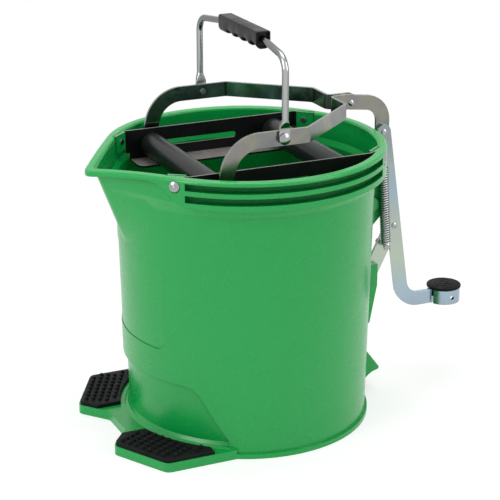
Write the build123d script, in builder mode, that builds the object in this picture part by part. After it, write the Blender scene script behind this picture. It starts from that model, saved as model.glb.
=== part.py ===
from build123d import *
import os
from math import acos, cos, hypot, pi, radians, sin, sqrt, tan

# Mop bucket with a pedal wringer. The origin is on the floor at the axis of the bucket,
# +X points to the pedal, -X to the spout, -Y is the near side and +Z is up.
os.makedirs("parts", exist_ok=True)

# Fits
seat_gap = 0.3
run_gap = 0.05
slide_gap = 0.3

# Bucket body
rim_height = 301.0
rim_radius = 148.0
base_radius = rim_radius - 17.5
top_radius = rim_radius - 11.0
wall = 3.0
floor_height = 8.0
floor_thickness = 3.0
floor_round = 8.0
bead_radius = base_radius + 3.0
bead_height = 5.0

# Collar round the mouth
mouth_radius = rim_radius - 10.5
mouth_low = rim_height - 27.0
flare_height = 6.0
collar_low = rim_height - 29.5
neck_wall = 3.5
neck_height = 11.0
rim_round = 3.0
groove_heights = (rim_height - 19.9, rim_height - 7.8)
groove_width = 7.8
groove_radius = rim_radius - 7.0
groove_draft = 0.9
groove_end = 137.5
groove_ramp = 5.5

# Spout
spout_reach = rim_radius + 27.6
spout_nose = 16.0
spout_foot = rim_height - 90.0
spout_top = rim_height - 5.0
spout_inset = 0.5
spout_start = 0.2
lip_start = 50.0 - rim_radius
lip_round = 310.0
lip_height = 5.0
sweep_start = 45.0 - rim_radius
sweep_end = 11.0 - rim_radius

# Toe recess in the front of the body
recess_depth = 4.5
recess_height = 74.0
recess_top_half = base_radius - 40.5
recess_base_half = base_radius - 11.5
recess_corner = 16.0

# Front panel
panel_half = 62.0
panel_low = 108.0
panel_high = rim_height - 99.0
panel_corner = 12.0
panel_depth = 0.7

# Toe platforms and pads
toe_height = 10.0
toe_half = base_radius - 12.5
toe_front = -base_radius - 43.5
toe_front_y = 55.0
toe_shoulder = -base_radius - 8.5
toe_inner = -base_radius - 18.5
toe_inner_y = 24.0
toe_root = -62.0
toe_corner = 9.0
toe_wall = 3.0
cove_reach = 6.0
cove_middle = 2.2
cove_half_angle = 59.0
pad_height = 4.0
pad_radius = base_radius + 6.0
pad_margin = 1.2
pad_inner_y = 37.0
pad_root = toe_root - 24.5
pad_bevel = 1.0

# Back webs and their bosses
web_inner = 8.0
web_thickness = 3.0
web_edge = rim_radius + 14.0
web_root = base_radius - 2.5
web_head = rim_height - 17.0
web_shoulder = rim_height - 31.0
web_slope_low = rim_height - 95.5
boss_x = rim_radius - 3.0
boss_height = rim_height - 85.0
boss_radius = 8.0
boss_depth = 4.0
hook_hole_x = rim_radius + 7.7
hook_hole_z = rim_height - 39.0
hook_hole_radius = 1.9

# Tipping grip near the floor
grip_half = 22.0
grip_foot = 4.0
grip_head = 50.0
grip_shelf = 6.5
grip_lip = 28.0
grip_reach = 23.0
grip_nose = 4.0
grip_hollow = 9.0

# Rails across the mouth
rail_y = 0.6618 * mouth_radius
rail_bend_x = 0.7273 * mouth_radius
rail_tab_x = 0.8545 * mouth_radius
rail_tab_y = 0.5564 * mouth_radius
rail_thickness = 2.0
rail_top = rim_height - 0.6
rail_low = rim_height - 34.5
rail_end_low = rim_height - 25.5
rail_tab_low = rim_height - 17.0
rail_half = rail_bend_x - 6.0
rail_end_half = rail_bend_x - 2.0
rail_bend_round = 4.0
rail_flange_y = rail_y - 31.0
rail_flange_radius = mouth_radius - 6.0
rail_flange_corner = 8.0
tab_end_gap = 0.8
socket_wall = 2.7
socket_floor = 2.2
socket_start = 0.2
socket_end = 1.05
socket_back = 5.0
rail_rivet_share = 0.56
rail_rivet_z = rim_height - 8.8
rail_rivet_radius = 2.4
rivet_head_radius = 5.4
rivet_head_height = 2.4
rivet_tail_radius = 3.2
rivet_tail_height = 1.2
rivet_face_sink = 1.1
rivet_face_radius = 6.4
head_skirt = 0.35

# Rollers and axles
axle_z = rim_height - 18.5
axle_radius = 3.0
fixed_axle_x = 73.5
moving_axle_x = -69.5
roller_radius = 13.2
roller_wall = 2.4
roller_half = rail_y - 2.4
bush_length = 14.0
slot_low_x = moving_axle_x - 6.5
slot_high_x = 30.0
clip_radius = 6.0
clip_thickness = 1.4
axle_tip = 1.6

# Yoke
strip_width = 16.0
strip_thickness = 3.0
strip_y = rail_y + 10.5
strip_z = axle_z + 49.0
leg_lean = 75.0
leg_radius = 34.0
leg_start_x = moving_axle_x + 39.0
bend_x = 23.0
cross_x = rim_radius - 50.4
cross_y = 38.0
bend_round = 6.0
yoke_rivet_x = rim_radius - 26.2
yoke_rivet_z = strip_z - 1.5
gooseneck_thickness = 3.5
gooseneck_start_x = yoke_rivet_x - 8.8
gooseneck_slope = 7.0
gooseneck_round = 22.0

# Pedal lever, crank and pivots
plate_thickness = 3.5
lever_width = 16.2
link_width = 17.0
upper_x = rim_radius + 14.1
upper_z = rim_height - 7.5
crank_x = rim_radius + 29.9
crank_z = rim_height - 116.0
lower_x = base_radius + 15.0
lower_z = rim_height - 181.5
lever_foot_z = lower_z - 25.6
lever_round = 24.0
pivot_radius = 2.0
pivot_head_radius = 3.4
pivot_head_height = 1.8
pivot_tail_radius = 3.0
pivot_tail_height = 1.3
washer_radius = 5.5
washer_thickness = 1.2
slot_play_x = 1.1
slot_play_z = 3.3
lower_pin_radius = 4.0
lower_head_radius = 6.6
lower_head_height = 2.0
ear_inner = 2.4
ear_thickness = 5.8
ear_blind = 1.8
ear_rise = 24.5
ear_fall = 57.5
ear_reach = 11.5
ear_foot = 3.0
ear_foot_rise = 14.0
ring_x = rim_radius + 98.2
ring_y = -2.0
ring_radius = 18.5
ring_gap_angle = 198.0
ring_gap_width = 3.0
ring_hole_angle = -87.0
ring_hole_radius = 2.6
cap_radius = 19.4
cap_thickness = 3.0
cap_dome = 1.8
cap_plug = 6.0
cap_round = 1.2
cap_key_drop = 7.5

# Carry handle
handle_x = -5.0
handle_tube_y = strip_y + 5.5
handle_top = strip_z + 89.5
handle_bend = 22.0
tube_radius = 3.5
flat_width = 11.5
flat_thickness = 3.0
flat_top = strip_z + 14.5
tube_low = strip_z + 27.0
handle_rivet_radius = 2.6
handle_head_radius = 6.0
handle_head_height = 2.6
grip_half_length = 58.0
grip_half_width = 8.0
grip_top = handle_top + 8.0
grip_low = handle_top - 10.0
grip_scallop = 2.6
grip_fingers = 4
grip_edge = 2.4

# Return spring
wire_radius = 0.85
coil_radius = 4.2
spring_y = -17.0
spring_pin_x = rim_radius + 14.8
spring_pin_z = rim_height - 134.2
spring_pin_radius = 2.3
pin_collar_radius = 3.6
pin_collar_height = 1.4
hook_gap = 0.2
hook_rise = 1.5
hook_tail = 2.5
hook_bend = 2.2
run_out = 6.0
spring_turns = 33
spring_end_y = -6.7

# Derived levels
taper = (top_radius - base_radius) / rim_height
strip_outer = strip_y + strip_thickness / 2
strip_inner = strip_y - strip_thickness / 2
rail_inner = rail_y - rail_thickness / 2
rail_outer = rail_y + rail_thickness / 2
plate_far = -gooseneck_thickness / 2 - seat_gap
plate_near = plate_far - plate_thickness
link_far = plate_far + plate_thickness
floor_top = floor_height + floor_thickness
flare_low = mouth_low - flare_height
mouth_reach = spout_reach - (rim_radius - mouth_radius)
mouth_nose = spout_nose - (rim_radius - mouth_radius)
web_outer = web_inner + web_thickness
ear_outer = ear_inner + ear_thickness
flat_inner = strip_outer + seat_gap
flat_outer = flat_inner + flat_thickness
flat_y = flat_inner + flat_thickness / 2
hook_radius = spring_pin_radius + hook_gap + wire_radius
socket_front = rail_thickness / 2 + slide_gap + socket_wall


def wall_radius(height):
    """Outer radius of the tapered body at a height."""
    return base_radius + taper * height


def throat_radius(height):
    """Outer radius of the wall behind the collar, flared out under the mouth."""
    flare = min(max((height - flare_low) / flare_height, 0.0), 1.0)
    return wall_radius(height) * (1 - flare) + (mouth_radius + wall) * flare


def lip_top(x):
    """Height of the falling top of the spout's lip."""
    return rim_height - lip_round + sqrt(lip_round**2 - (lip_start - x) ** 2)


def save(builder, name):
    """Label a finished piece and write its file."""
    builder.part.label = name
    export_step(builder.part, f"parts/{name}.step")


def turned(points, arc=360.0, start=0.0):
    """Solid turned about the Z axis from a closed outline of (radius, height) points."""
    with BuildPart() as solid:
        with BuildSketch(Plane.XZ.rotated((0, 0, start))):
            with BuildLine():
                Polyline(*points, close=True)
            make_face()
        revolve(axis=Axis.Z, revolution_arc=arc)
    return solid.part


def tapered_body(inset, low, high, foot_round=0.0):
    """Solid tapered body, set in from the outer wall, with an optional rounded foot."""
    low_radius = wall_radius(low) - inset
    high_radius = wall_radius(high) - inset
    with BuildPart() as solid:
        add(turned([(0, low), (low_radius, low), (high_radius, high), (0, high)]))
        if foot_round > 0:
            fillet(solid.edges().group_by(Axis.Z)[0], foot_round)
    return solid.part


def pour_sketch(height, radius, reach, nose):
    """Round outline drawn out to a rounded pouring nose on the -X side."""
    nose_x = nose - reach
    lean = acos((radius - nose) / -nose_x)
    wall_x = -radius * cos(lean)
    wall_y = radius * sin(lean)
    tip_x = nose_x - nose * cos(lean)
    tip_y = nose * sin(lean)
    with BuildSketch(Plane.XY.offset(height)) as sketch:
        with BuildLine():
            ThreePointArc((wall_x, wall_y), (radius, 0), (wall_x, -wall_y))
            Line((wall_x, -wall_y), (tip_x, -tip_y))
            ThreePointArc((tip_x, -tip_y), (-reach, 0), (tip_x, tip_y))
            Line((tip_x, tip_y), (wall_x, wall_y))
        make_face()
    return sketch.sketch


def spout_solid(inset):
    """Spout that grows out of the tapered body up to the lip."""

    def section(height):
        share = (height - spout_foot) / (spout_top - spout_foot)
        foot_reach = wall_radius(spout_foot) + spout_start
        reach = foot_reach + (mouth_reach + wall - foot_reach) * share - inset
        nose = spout_nose + (mouth_nose + wall - spout_nose) * share - inset
        return pour_sketch(height, throat_radius(height) - inset - spout_inset, reach, nose)

    with BuildPart() as solid:
        loft(sections=[section(spout_foot + (flare_low - spout_foot) * step / 3) for step in range(4)])
        loft(sections=[section(flare_low), section(mouth_low)], ruled=True)
        loft(sections=[section(mouth_low), section(spout_top)], ruled=True)
    return solid.part


def groove_tool(height, start):
    """Shape of one groove between the collar's ribs, with ends that run out in a curve."""
    low = height - groove_width / 2
    high = height + groove_width / 2
    outer = rim_radius + wall
    outline = [
        (groove_radius, low + groove_draft),
        (outer, low),
        (outer, high),
        (groove_radius, high - groove_draft),
    ]
    with BuildPart() as tool:
        add(turned(outline, 2 * groove_end - 180, start))
        uprights = tool.edges().filter_by(Axis.Z)
        inner_ends = uprights.filter_by(lambda edge: hypot(edge.center().X, edge.center().Y) < rim_radius)
        fillet(inner_ends, groove_ramp)
    return tool.part


def front_prism(half_low, half_high, low, high, corner, grow=0.0):
    """Straight prism through the front of the body, with rounded upper corners."""
    with BuildPart() as prism:
        with BuildSketch(Plane.YZ) as outline:
            with BuildLine():
                Polyline(
                    (-half_low - grow, low),
                    (-half_high - grow, high + grow),
                    (half_high + grow, high + grow),
                    (half_low + grow, low),
                    close=True,
                )
            make_face()
            fillet(outline.vertices().group_by(Axis.Z)[-1], corner)
        extrude(amount=-rim_radius)
    return prism.part


def dome_radius(radius, rise):
    """Radius of the arc that rises from the edge of a round head to its middle."""
    return (radius * radius + rise * rise) / (2 * rise)


def domed_head(radius, height):
    """Round head standing on the XY plane, with a short straight skirt under its dome."""
    skirt = height * head_skirt
    with BuildPart() as head:
        with BuildSketch(Plane.XZ):
            with BuildLine():
                Polyline((0, height), (0, 0), (radius, 0), (radius, skirt))
                RadiusArc((radius, skirt), (0, height), -dome_radius(radius, height - skirt))
            make_face()
        revolve(axis=Axis.Z)
    return head.part


def rod_y(x, z, radius, y_low, y_high):
    """Round rod along Y between two sides."""
    with BuildPart() as rod:
        with BuildSketch(Plane.XZ.offset(-y_high)):
            with Locations((x, z)):
                Circle(radius)
        extrude(amount=y_high - y_low)
    return rod.part


def rivet_y(x, z, y_low, y_high):
    """Rivet along Y with a domed head on the near side and a flat tail on the far side."""
    head = Plane((x, y_low, z), z_dir=(0, -1, 0)) * domed_head(pivot_head_radius, pivot_head_height)
    with BuildPart() as rivet:
        add(rod_y(x, z, pivot_radius, y_low, y_high))
        add(rod_y(x, z, pivot_tail_radius, y_high, y_high + pivot_tail_height))
        add(head)
    return rivet.part


def rail_tab(way, side):
    """Bend point, end point and outward normal of one rail end tab, seen from above."""
    bend = Vector(way * rail_bend_x, side * rail_y, 0)
    end = Vector(way * rail_tab_x, side * rail_tab_y, 0)
    along = (end - bend).normalized()
    normal = Vector(way * abs(along.Y), side * abs(along.X), 0)
    return bend, end, normal


def rail_rivet_line(way, side):
    """Point of a rail rivet on the middle of its tab, its direction and its run to the collar's face."""
    bend, end, normal = rail_tab(way, side)
    seat = bend + (end - bend) * rail_rivet_share + Vector(0, 0, rail_rivet_z)
    flat = Vector(seat.X, seat.Y, 0)
    along = flat.dot(normal)
    across = flat.dot(flat) - along * along
    return seat, normal, sqrt(rim_radius * rim_radius - across) - along - rivet_face_sink


corners = [(way, side) for side in (-1, 1) for way in (-1, 1)]

# Space over the falling lip of the spout
with BuildPart() as lip_cut:
    lip_tip = -spout_reach - wall
    lip_middle = (lip_start + lip_tip) / 2
    with BuildSketch(Plane.XZ):
        with BuildLine():
            lip_end = (lip_tip, lip_top(lip_tip))
            ThreePointArc((lip_start, rim_height), (lip_middle, lip_top(lip_middle)), lip_end)
            Polyline(
                lip_end,
                (lip_tip, rim_height + wall),
                (lip_start, rim_height + wall),
                (lip_start, rim_height),
            )
        make_face()
    extrude(amount=rim_radius, both=True)

# Collar: a drawn-out ring whose lower edge sweeps up to a thin lip along the spout
with BuildPart() as collar:
    extrude(pour_sketch(collar_low, rim_radius, spout_reach, spout_nose), amount=rim_height - collar_low)
    mouth = pour_sketch(collar_low, mouth_radius, mouth_reach, mouth_nose)
    extrude(mouth, amount=rim_height - collar_low, mode=Mode.SUBTRACT)
    add(lip_cut.part, mode=Mode.SUBTRACT)
    with BuildSketch(Plane.XZ):
        with BuildLine():
            sweep_foot = (sweep_start, collar_low)
            sweep_head = (sweep_end, lip_top(sweep_end) - lip_height)
            sweep_middle = (sweep_end + lip_tip) / 2
            sweep_tip = (lip_tip, lip_top(lip_tip) - lip_height)
            sweep_fall = (lip_start - sweep_end) / sqrt(lip_round**2 - (lip_start - sweep_end) ** 2)
            Spline(sweep_foot, sweep_head, tangents=((-1, 0), (-1, -sweep_fall)))
            ThreePointArc(sweep_head, (sweep_middle, lip_top(sweep_middle) - lip_height), sweep_tip)
            Polyline(sweep_tip, (lip_tip, collar_low - wall), (sweep_start, collar_low - wall), sweep_foot)
        make_face()
    extrude(amount=rim_radius, both=True, mode=Mode.SUBTRACT)
    crest = collar.faces().filter_by(lambda face: face.normal_at().Z > 0.9)
    fillet(crest.edges().filter_by(lambda edge: edge.length > rim_radius - mouth_radius + 0.5), rim_round)

# Sockets inside the rim that take the rail end tabs
with BuildPart() as rail_sockets:
    for way, side in corners:
        bend, end, normal = rail_tab(way, side)
        first = bend + (end - bend) * socket_start
        last = bend + (end - bend) * socket_end
        with BuildSketch(Plane.XY.offset(rail_tab_low - slide_gap - socket_floor)):
            with BuildLine():
                inside = normal * -socket_front
                Polyline(first + inside, last + inside, last, first + normal * socket_back, close=True)
            make_face()
        extrude(amount=rim_height - rail_tab_low + slide_gap + socket_floor)
    add(lip_cut.part, mode=Mode.SUBTRACT)

# Inside of the bucket: tapered, stepped in behind the toe recess, flared at the mouth
with BuildPart() as cavity:
    add(tapered_body(wall, floor_top, mouth_low, floor_round))
    recess_shape = (recess_base_half, recess_top_half, 0, recess_height, recess_corner)
    add(front_prism(*recess_shape, grow=wall), mode=Mode.SUBTRACT)
    add(tapered_body(wall + recess_depth, floor_top, recess_height + 2 * wall, floor_round))
    crown = rim_height + wall
    throat = [(0, flare_low), (wall_radius(flare_low) - wall, flare_low), (mouth_radius, mouth_low)]
    add(turned(throat + [(mouth_radius, crown), (0, crown)]))
    add(spout_solid(wall))
    extrude(pour_sketch(spout_top, mouth_radius, mouth_reach, mouth_nose), amount=crown - spout_top)

# Toe recess and front panel: shallow steps in the outside of the body
with BuildPart() as toe_recess:
    add(front_prism(*recess_shape))
    add(tapered_body(recess_depth, 0, recess_height + wall), mode=Mode.SUBTRACT)
with BuildPart() as front_panel:
    add(front_prism(panel_half, panel_half, panel_low, panel_high, panel_corner))
    add(tapered_body(panel_depth, panel_low - wall, panel_high + wall), mode=Mode.SUBTRACT)

# Toe platform outline, one plate under both feet of the user
with BuildSketch() as toe_outline:
    with BuildLine():
        Polyline(
            (toe_root, -toe_half),
            (toe_shoulder, -toe_half),
            (toe_front, -toe_front_y),
            (toe_inner, -toe_inner_y),
            (toe_inner, toe_inner_y),
            (toe_front, toe_front_y),
            (toe_shoulder, toe_half),
            (toe_root, toe_half),
            close=True,
        )
    make_face()
    fillet(toe_outline.vertices().filter_by(lambda corner: corner.X < toe_root - wall), toe_corner)

# Bucket shell: one moulding
with BuildPart() as bucket_shell:
    add(tapered_body(0, 0, spout_top))
    neck_low = collar_low - neck_height
    neck_radius = mouth_radius + neck_wall
    neck = [(0, neck_low), (wall_radius(neck_low) - spout_inset, neck_low), (neck_radius, mouth_low)]
    add(turned(neck + [(neck_radius, spout_top), (0, spout_top)]))
    add(spout_solid(0))
    add(Pos(0, 0, -lip_height / 2) * lip_cut.part, mode=Mode.SUBTRACT)
    add(turned([(0, 0), (bead_radius, 0), (bead_radius, bead_height), (0, bead_height)]))
    # pivot ears low on the back
    with BuildSketch(Plane.XZ.offset(ear_inner), Plane.XZ.offset(-ear_outer)):
        with BuildLine():
            Polyline(
                (web_root, lower_z - ear_fall),
                (web_root, lower_z + ear_rise),
                (lower_x + ear_reach, lower_z + ear_rise),
                (lower_x + ear_reach, lower_z),
                (lower_x + ear_foot, lower_z - ear_fall + ear_foot_rise),
                close=True,
            )
        make_face()
    extrude(amount=ear_thickness)
    # webs under the collar, with round bosses on their outer faces
    with BuildSketch(Plane.XZ.offset(web_inner), Plane.XZ.offset(-web_outer)):
        with BuildLine():
            Polyline(
                (web_root, web_head),
                (rim_radius - wall, web_head),
                (web_edge, web_shoulder),
                (web_edge, web_slope_low),
                (web_root, web_slope_low - web_edge + web_root),
                close=True,
            )
        make_face()
    extrude(amount=web_thickness)
    add(rod_y(boss_x, boss_height, boss_radius, web_outer, web_outer + boss_depth))
    add(rod_y(boss_x, boss_height, boss_radius, -web_outer - boss_depth, -web_outer))
    # tipping grip near the floor
    with BuildSketch(Plane.XZ):
        with BuildLine():
            grip_tip = (base_radius + grip_reach, grip_lip)
            grip_edge_low = (base_radius + grip_reach - grip_nose / 2, grip_lip - grip_nose)
            grip_heel = (base_radius + grip_foot / 4, grip_foot)
            grip_back = (base_radius + grip_shelf, grip_head)
            grip_front = (base_radius + grip_reach + grip_nose / 8, grip_lip - grip_nose / 2)
            Polyline((web_root, grip_foot), (web_root, grip_head), grip_back, grip_tip)
            ThreePointArc(grip_tip, grip_front, grip_edge_low)
            ThreePointArc(grip_edge_low, (base_radius + grip_hollow, 2 * grip_hollow), grip_heel)
            Line(grip_heel, (web_root, grip_foot))
        make_face()
    extrude(amount=grip_half, both=True)
    # front steps, then the toe platform and the cove behind it
    add(toe_recess.part, mode=Mode.SUBTRACT)
    add(front_panel.part, mode=Mode.SUBTRACT)
    extrude(toe_outline.sketch, amount=toe_height)
    cove_radius = wall_radius(toe_height) - recess_depth
    cove = [
        (cove_radius - wall / 2, toe_height - wall / 2),
        (cove_radius + cove_reach, toe_height - wall / 2),
        (cove_radius + cove_reach, toe_height),
        (cove_radius + cove_middle, toe_height + cove_middle),
        (cove_radius, toe_height + cove_reach),
        (cove_radius - wall / 2, toe_height + cove_reach),
    ]
    add(turned(cove, 2 * cove_half_angle, 180 - cove_half_angle))
    add(collar.part)
    add(cavity.part, mode=Mode.SUBTRACT)
    add(rail_sockets.part)
    # hollow underside
    with BuildSketch():
        Circle(base_radius - recess_depth - wall)
    extrude(amount=floor_height, mode=Mode.SUBTRACT)
    with BuildSketch():
        offset(toe_outline.sketch, amount=-toe_wall)
        Circle(base_radius, mode=Mode.SUBTRACT)
    extrude(amount=toe_height - toe_wall, mode=Mode.SUBTRACT)
    # grooves between the collar's ribs, stopped short of the rivets
    for height in groove_heights:
        for start in (180 - groove_end, -groove_end):
            add(groove_tool(height, start), mode=Mode.SUBTRACT)
    # slots for the rail end tabs, rivet holes and their flat faces
    for way, side in corners:
        bend, end, normal = rail_tab(way, side)
        reach = (end - bend).normalized() * tab_end_gap
        half_slot = normal * (rail_thickness / 2 + slide_gap)
        with BuildSketch(Plane.XY.offset(rail_tab_low - slide_gap)):
            with BuildLine():
                stop = end + reach
                Polyline(bend + half_slot, stop + half_slot, stop - half_slot, bend - half_slot, close=True)
            make_face()
        extrude(amount=rim_height, mode=Mode.SUBTRACT)
        seat, normal, run = rail_rivet_line(way, side)
        with BuildSketch(Plane(seat - normal * (socket_front + wall), z_dir=normal)):
            Circle(rail_rivet_radius + run_gap)
        extrude(amount=run + socket_front + wall, mode=Mode.SUBTRACT)
        with BuildSketch(Plane(seat + normal * run, z_dir=normal)):
            Circle(rivet_face_radius)
        extrude(amount=rivet_face_radius, mode=Mode.SUBTRACT)
    # pivot hole in the ears, blind on the near side, and hook hole in the near web
    add(rod_y(lower_x, lower_z, lower_pin_radius, ear_blind - ear_outer, ear_outer), mode=Mode.SUBTRACT)
    add(rod_y(hook_hole_x, hook_hole_z, hook_hole_radius, -web_outer, -web_inner), mode=Mode.SUBTRACT)
save(bucket_shell, "bucket_shell")

# Toe pads on the platforms
with BuildPart() as toe_pad_near:
    with BuildSketch(Plane.XY.offset(toe_height)):
        offset(toe_outline.sketch, amount=-pad_margin)
        Circle(pad_radius, mode=Mode.SUBTRACT)
        with Locations((toe_front, -pad_inner_y)):
            Rectangle(2 * toe_half, 4 * toe_half, align=(Align.CENTER, Align.MAX), mode=Mode.INTERSECT)
        with Locations((pad_root, 0)):
            Rectangle(toe_half, 2 * toe_half, align=(Align.MAX, Align.CENTER), mode=Mode.INTERSECT)
    extrude(amount=pad_height)
    chamfer(toe_pad_near.faces().sort_by(Axis.Z)[-1].edges(), pad_bevel)
save(toe_pad_near, "toe_pad_near")
with BuildPart() as toe_pad_far:
    mirror(toe_pad_near.part, about=Plane.XZ)
save(toe_pad_far, "toe_pad_far")

# Rails: pressed L sections with end tabs bent along the mouth
with BuildPart() as rail_near:
    with BuildSketch(Plane.XZ.offset(rail_inner)):
        with Locations((0, rail_top)):
            Rectangle(2 * rail_half, rail_top - rail_low, align=(Align.CENTER, Align.MAX))
            Rectangle(2 * rail_end_half, rail_top - rail_end_low, align=(Align.CENTER, Align.MAX))
    extrude(amount=rail_thickness)
    with BuildSketch(Plane.XY.offset(rail_low)):
        with Locations((0, -rail_outer)):
            Rectangle(2 * rail_half, rail_outer - rail_flange_y, align=(Align.CENTER, Align.MIN))
        Circle(rail_flange_radius, mode=Mode.INTERSECT)
    extrude(amount=rail_thickness)
    for way in (-1, 1):
        bend, end, normal = rail_tab(way, -1)
        with BuildSketch(Plane.XY.offset(rail_tab_low)):
            with BuildLine():
                FilletPolyline((way * rail_half, -rail_y), bend, end, radius=rail_bend_round)
            trace(line_width=rail_thickness)
        extrude(amount=rail_top - rail_tab_low)
    flange_corners = rail_near.edges().filter_by(Axis.Z).group_by(Axis.Y)[-1]
    fillet(flange_corners, rail_flange_corner)
    with BuildSketch(Plane.XZ.offset(rail_inner)):
        with Locations(((slot_low_x + slot_high_x) / 2, axle_z)):
            SlotOverall(slot_high_x - slot_low_x, 2 * (axle_radius + slide_gap))
        with Locations((fixed_axle_x, axle_z)):
            Circle(axle_radius + run_gap)
    extrude(amount=rail_thickness, mode=Mode.SUBTRACT)
    for way in (-1, 1):
        seat, normal, run = rail_rivet_line(way, -1)
        with BuildSketch(Plane(seat, z_dir=normal)):
            Circle(rail_rivet_radius + run_gap)
        extrude(amount=rail_thickness, both=True, mode=Mode.SUBTRACT)
save(rail_near, "rail_near")
with BuildPart() as rail_far:
    mirror(rail_near.part, about=Plane.XZ)
save(rail_far, "rail_far")

# Rail rivets: domed outside the collar, closed on the inner face of the socket
with BuildPart() as rail_rivets:
    for way, side in corners:
        seat, normal, run = rail_rivet_line(way, side)
        tail = seat - normal * socket_front
        with BuildSketch(Plane(tail, z_dir=normal)):
            Circle(rail_rivet_radius)
        extrude(amount=run + socket_front)
        with BuildSketch(Plane(tail, z_dir=-normal)):
            Circle(rivet_tail_radius)
        extrude(amount=rivet_tail_height)
        head = Plane(seat + normal * run, z_dir=normal) * domed_head(rivet_head_radius, rivet_head_height)
        add(head)
save(rail_rivets, "rail_rivets")


def roller(x):
    """Roller tube between the rails."""
    with BuildPart() as tube:
        add(rod_y(x, axle_z, roller_radius, -roller_half, roller_half))
        add(rod_y(x, axle_z, roller_radius - roller_wall, -roller_half, roller_half), mode=Mode.SUBTRACT)
    return tube


def roller_bushes(x):
    """Two flush bushes that carry a roller tube on its axle."""
    with BuildPart() as bushes:
        bush_ends = ((-roller_half, bush_length - roller_half), (roller_half - bush_length, roller_half))
        for inner, outer in bush_ends:
            add(rod_y(x, axle_z, roller_radius - roller_wall, inner, outer))
        add(rod_y(x, axle_z, axle_radius + run_gap, -roller_half, roller_half), mode=Mode.SUBTRACT)
    return bushes


def axle_clips(x, face):
    """Two push-on retainers outside the faces that an axle runs through."""
    with BuildPart() as clips:
        for low in (face + seat_gap, -face - seat_gap - clip_thickness):
            add(rod_y(x, axle_z, clip_radius, low, low + clip_thickness))
        add(rod_y(x, axle_z, axle_radius, -2 * face, 2 * face), mode=Mode.SUBTRACT)
    return clips


def axle(x, face):
    """Axle rod that runs a little past its retainers, with chamfered ends."""
    half = face + seat_gap + clip_thickness + axle_tip
    with BuildPart() as rod:
        add(rod_y(x, axle_z, axle_radius, -half, half))
        chamfer(rod.edges().filter_by(GeomType.CIRCLE), axle_tip / 2)
    return rod


fixed_roller = roller(fixed_axle_x)
save(fixed_roller, "fixed_roller")
fixed_roller_bushes = roller_bushes(fixed_axle_x)
save(fixed_roller_bushes, "fixed_roller_bushes")
fixed_roller_axle = axle(fixed_axle_x, rail_outer)
save(fixed_roller_axle, "fixed_roller_axle")
fixed_axle_clips = axle_clips(fixed_axle_x, rail_outer)
save(fixed_axle_clips, "fixed_axle_clips")
moving_roller = roller(moving_axle_x)
save(moving_roller, "moving_roller")
moving_roller_bushes = roller_bushes(moving_axle_x)
save(moving_roller_bushes, "moving_roller_bushes")
moving_roller_axle = axle(moving_axle_x, strip_outer)
save(moving_roller_axle, "moving_roller_axle")
moving_axle_clips = axle_clips(moving_axle_x, strip_outer)
save(moving_axle_clips, "moving_axle_clips")

# Yoke arms: a leg that curves up from the axle, then a strip bent in to the middle
with BuildPart() as yoke_arm_near:
    with BuildSketch(Plane.XZ.offset(strip_inner)):
        with BuildLine():
            straight = Line((handle_x, strip_z), (leg_start_x, strip_z))
            curve = JernArc(straight @ 1, (-1, 0), leg_radius, leg_lean)
            Line(curve @ 1, (moving_axle_x, axle_z))
        trace(line_width=strip_width)
        with Locations((moving_axle_x, axle_z)):
            Circle(strip_width / 2)
    extrude(amount=strip_thickness)
    tab_y = gooseneck_thickness / 2 + strip_thickness / 2
    with BuildSketch(Plane.XY.offset(strip_z - strip_width / 2)):
        with BuildLine():
            FilletPolyline(
                (handle_x, -strip_y),
                (bend_x, -strip_y),
                (cross_x, -cross_y),
                (cross_x, -tab_y),
                (yoke_rivet_x + strip_width / 2, -tab_y),
                radius=bend_round,
            )
        trace(line_width=strip_thickness)
    extrude(amount=strip_width)
    tab_end = yoke_arm_near.edges().filter_by(Axis.Y).group_by(Axis.X)[-1]
    fillet(tab_end, strip_width / 2 - slide_gap)
    add(rod_y(moving_axle_x, axle_z, axle_radius + run_gap, -strip_outer, -strip_inner), mode=Mode.SUBTRACT)
    add(rod_y(handle_x, strip_z, handle_rivet_radius, -strip_outer, -strip_inner), mode=Mode.SUBTRACT)
    add(rod_y(yoke_rivet_x, yoke_rivet_z, pivot_radius, -strip_y, 0), mode=Mode.SUBTRACT)
save(yoke_arm_near, "yoke_arm_near")
with BuildPart() as yoke_arm_far:
    mirror(yoke_arm_near.part, about=Plane.XZ)
save(yoke_arm_far, "yoke_arm_far")

# Gooseneck plate: from between the strips, over the rim and down to the lever
with BuildPart() as gooseneck_plate:
    fall = tan(radians(gooseneck_slope))
    with BuildSketch(Plane.XZ.offset(-gooseneck_thickness / 2)):
        with BuildLine():
            FilletPolyline(
                (gooseneck_start_x, yoke_rivet_z + (yoke_rivet_x - gooseneck_start_x) * fall),
                (upper_x, yoke_rivet_z - (upper_x - yoke_rivet_x) * fall),
                (upper_x, upper_z),
                radius=gooseneck_round,
            )
        trace(line_width=strip_width)
        with Locations((gooseneck_start_x, yoke_rivet_z + (yoke_rivet_x - gooseneck_start_x) * fall)):
            Circle(strip_width / 2)
        with Locations((upper_x, upper_z)):
            Circle(strip_width / 2)
        with Locations((yoke_rivet_x, yoke_rivet_z)):
            Circle(pivot_radius, mode=Mode.SUBTRACT)
        with Locations((upper_x, upper_z)):
            slot_length = 2 * (pivot_radius + slot_play_z)
            SlotOverall(slot_length, 2 * (pivot_radius + slot_play_x), rotation=90, mode=Mode.SUBTRACT)
    extrude(amount=gooseneck_thickness)
save(gooseneck_plate, "gooseneck_plate")

# Rivet through both strips and the gooseneck plate
tab_face = gooseneck_thickness / 2 + strip_thickness
with BuildPart() as yoke_rivet:
    add(rivet_y(yoke_rivet_x, yoke_rivet_z, -tab_face, tab_face))
save(yoke_rivet, "yoke_rivet")

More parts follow.
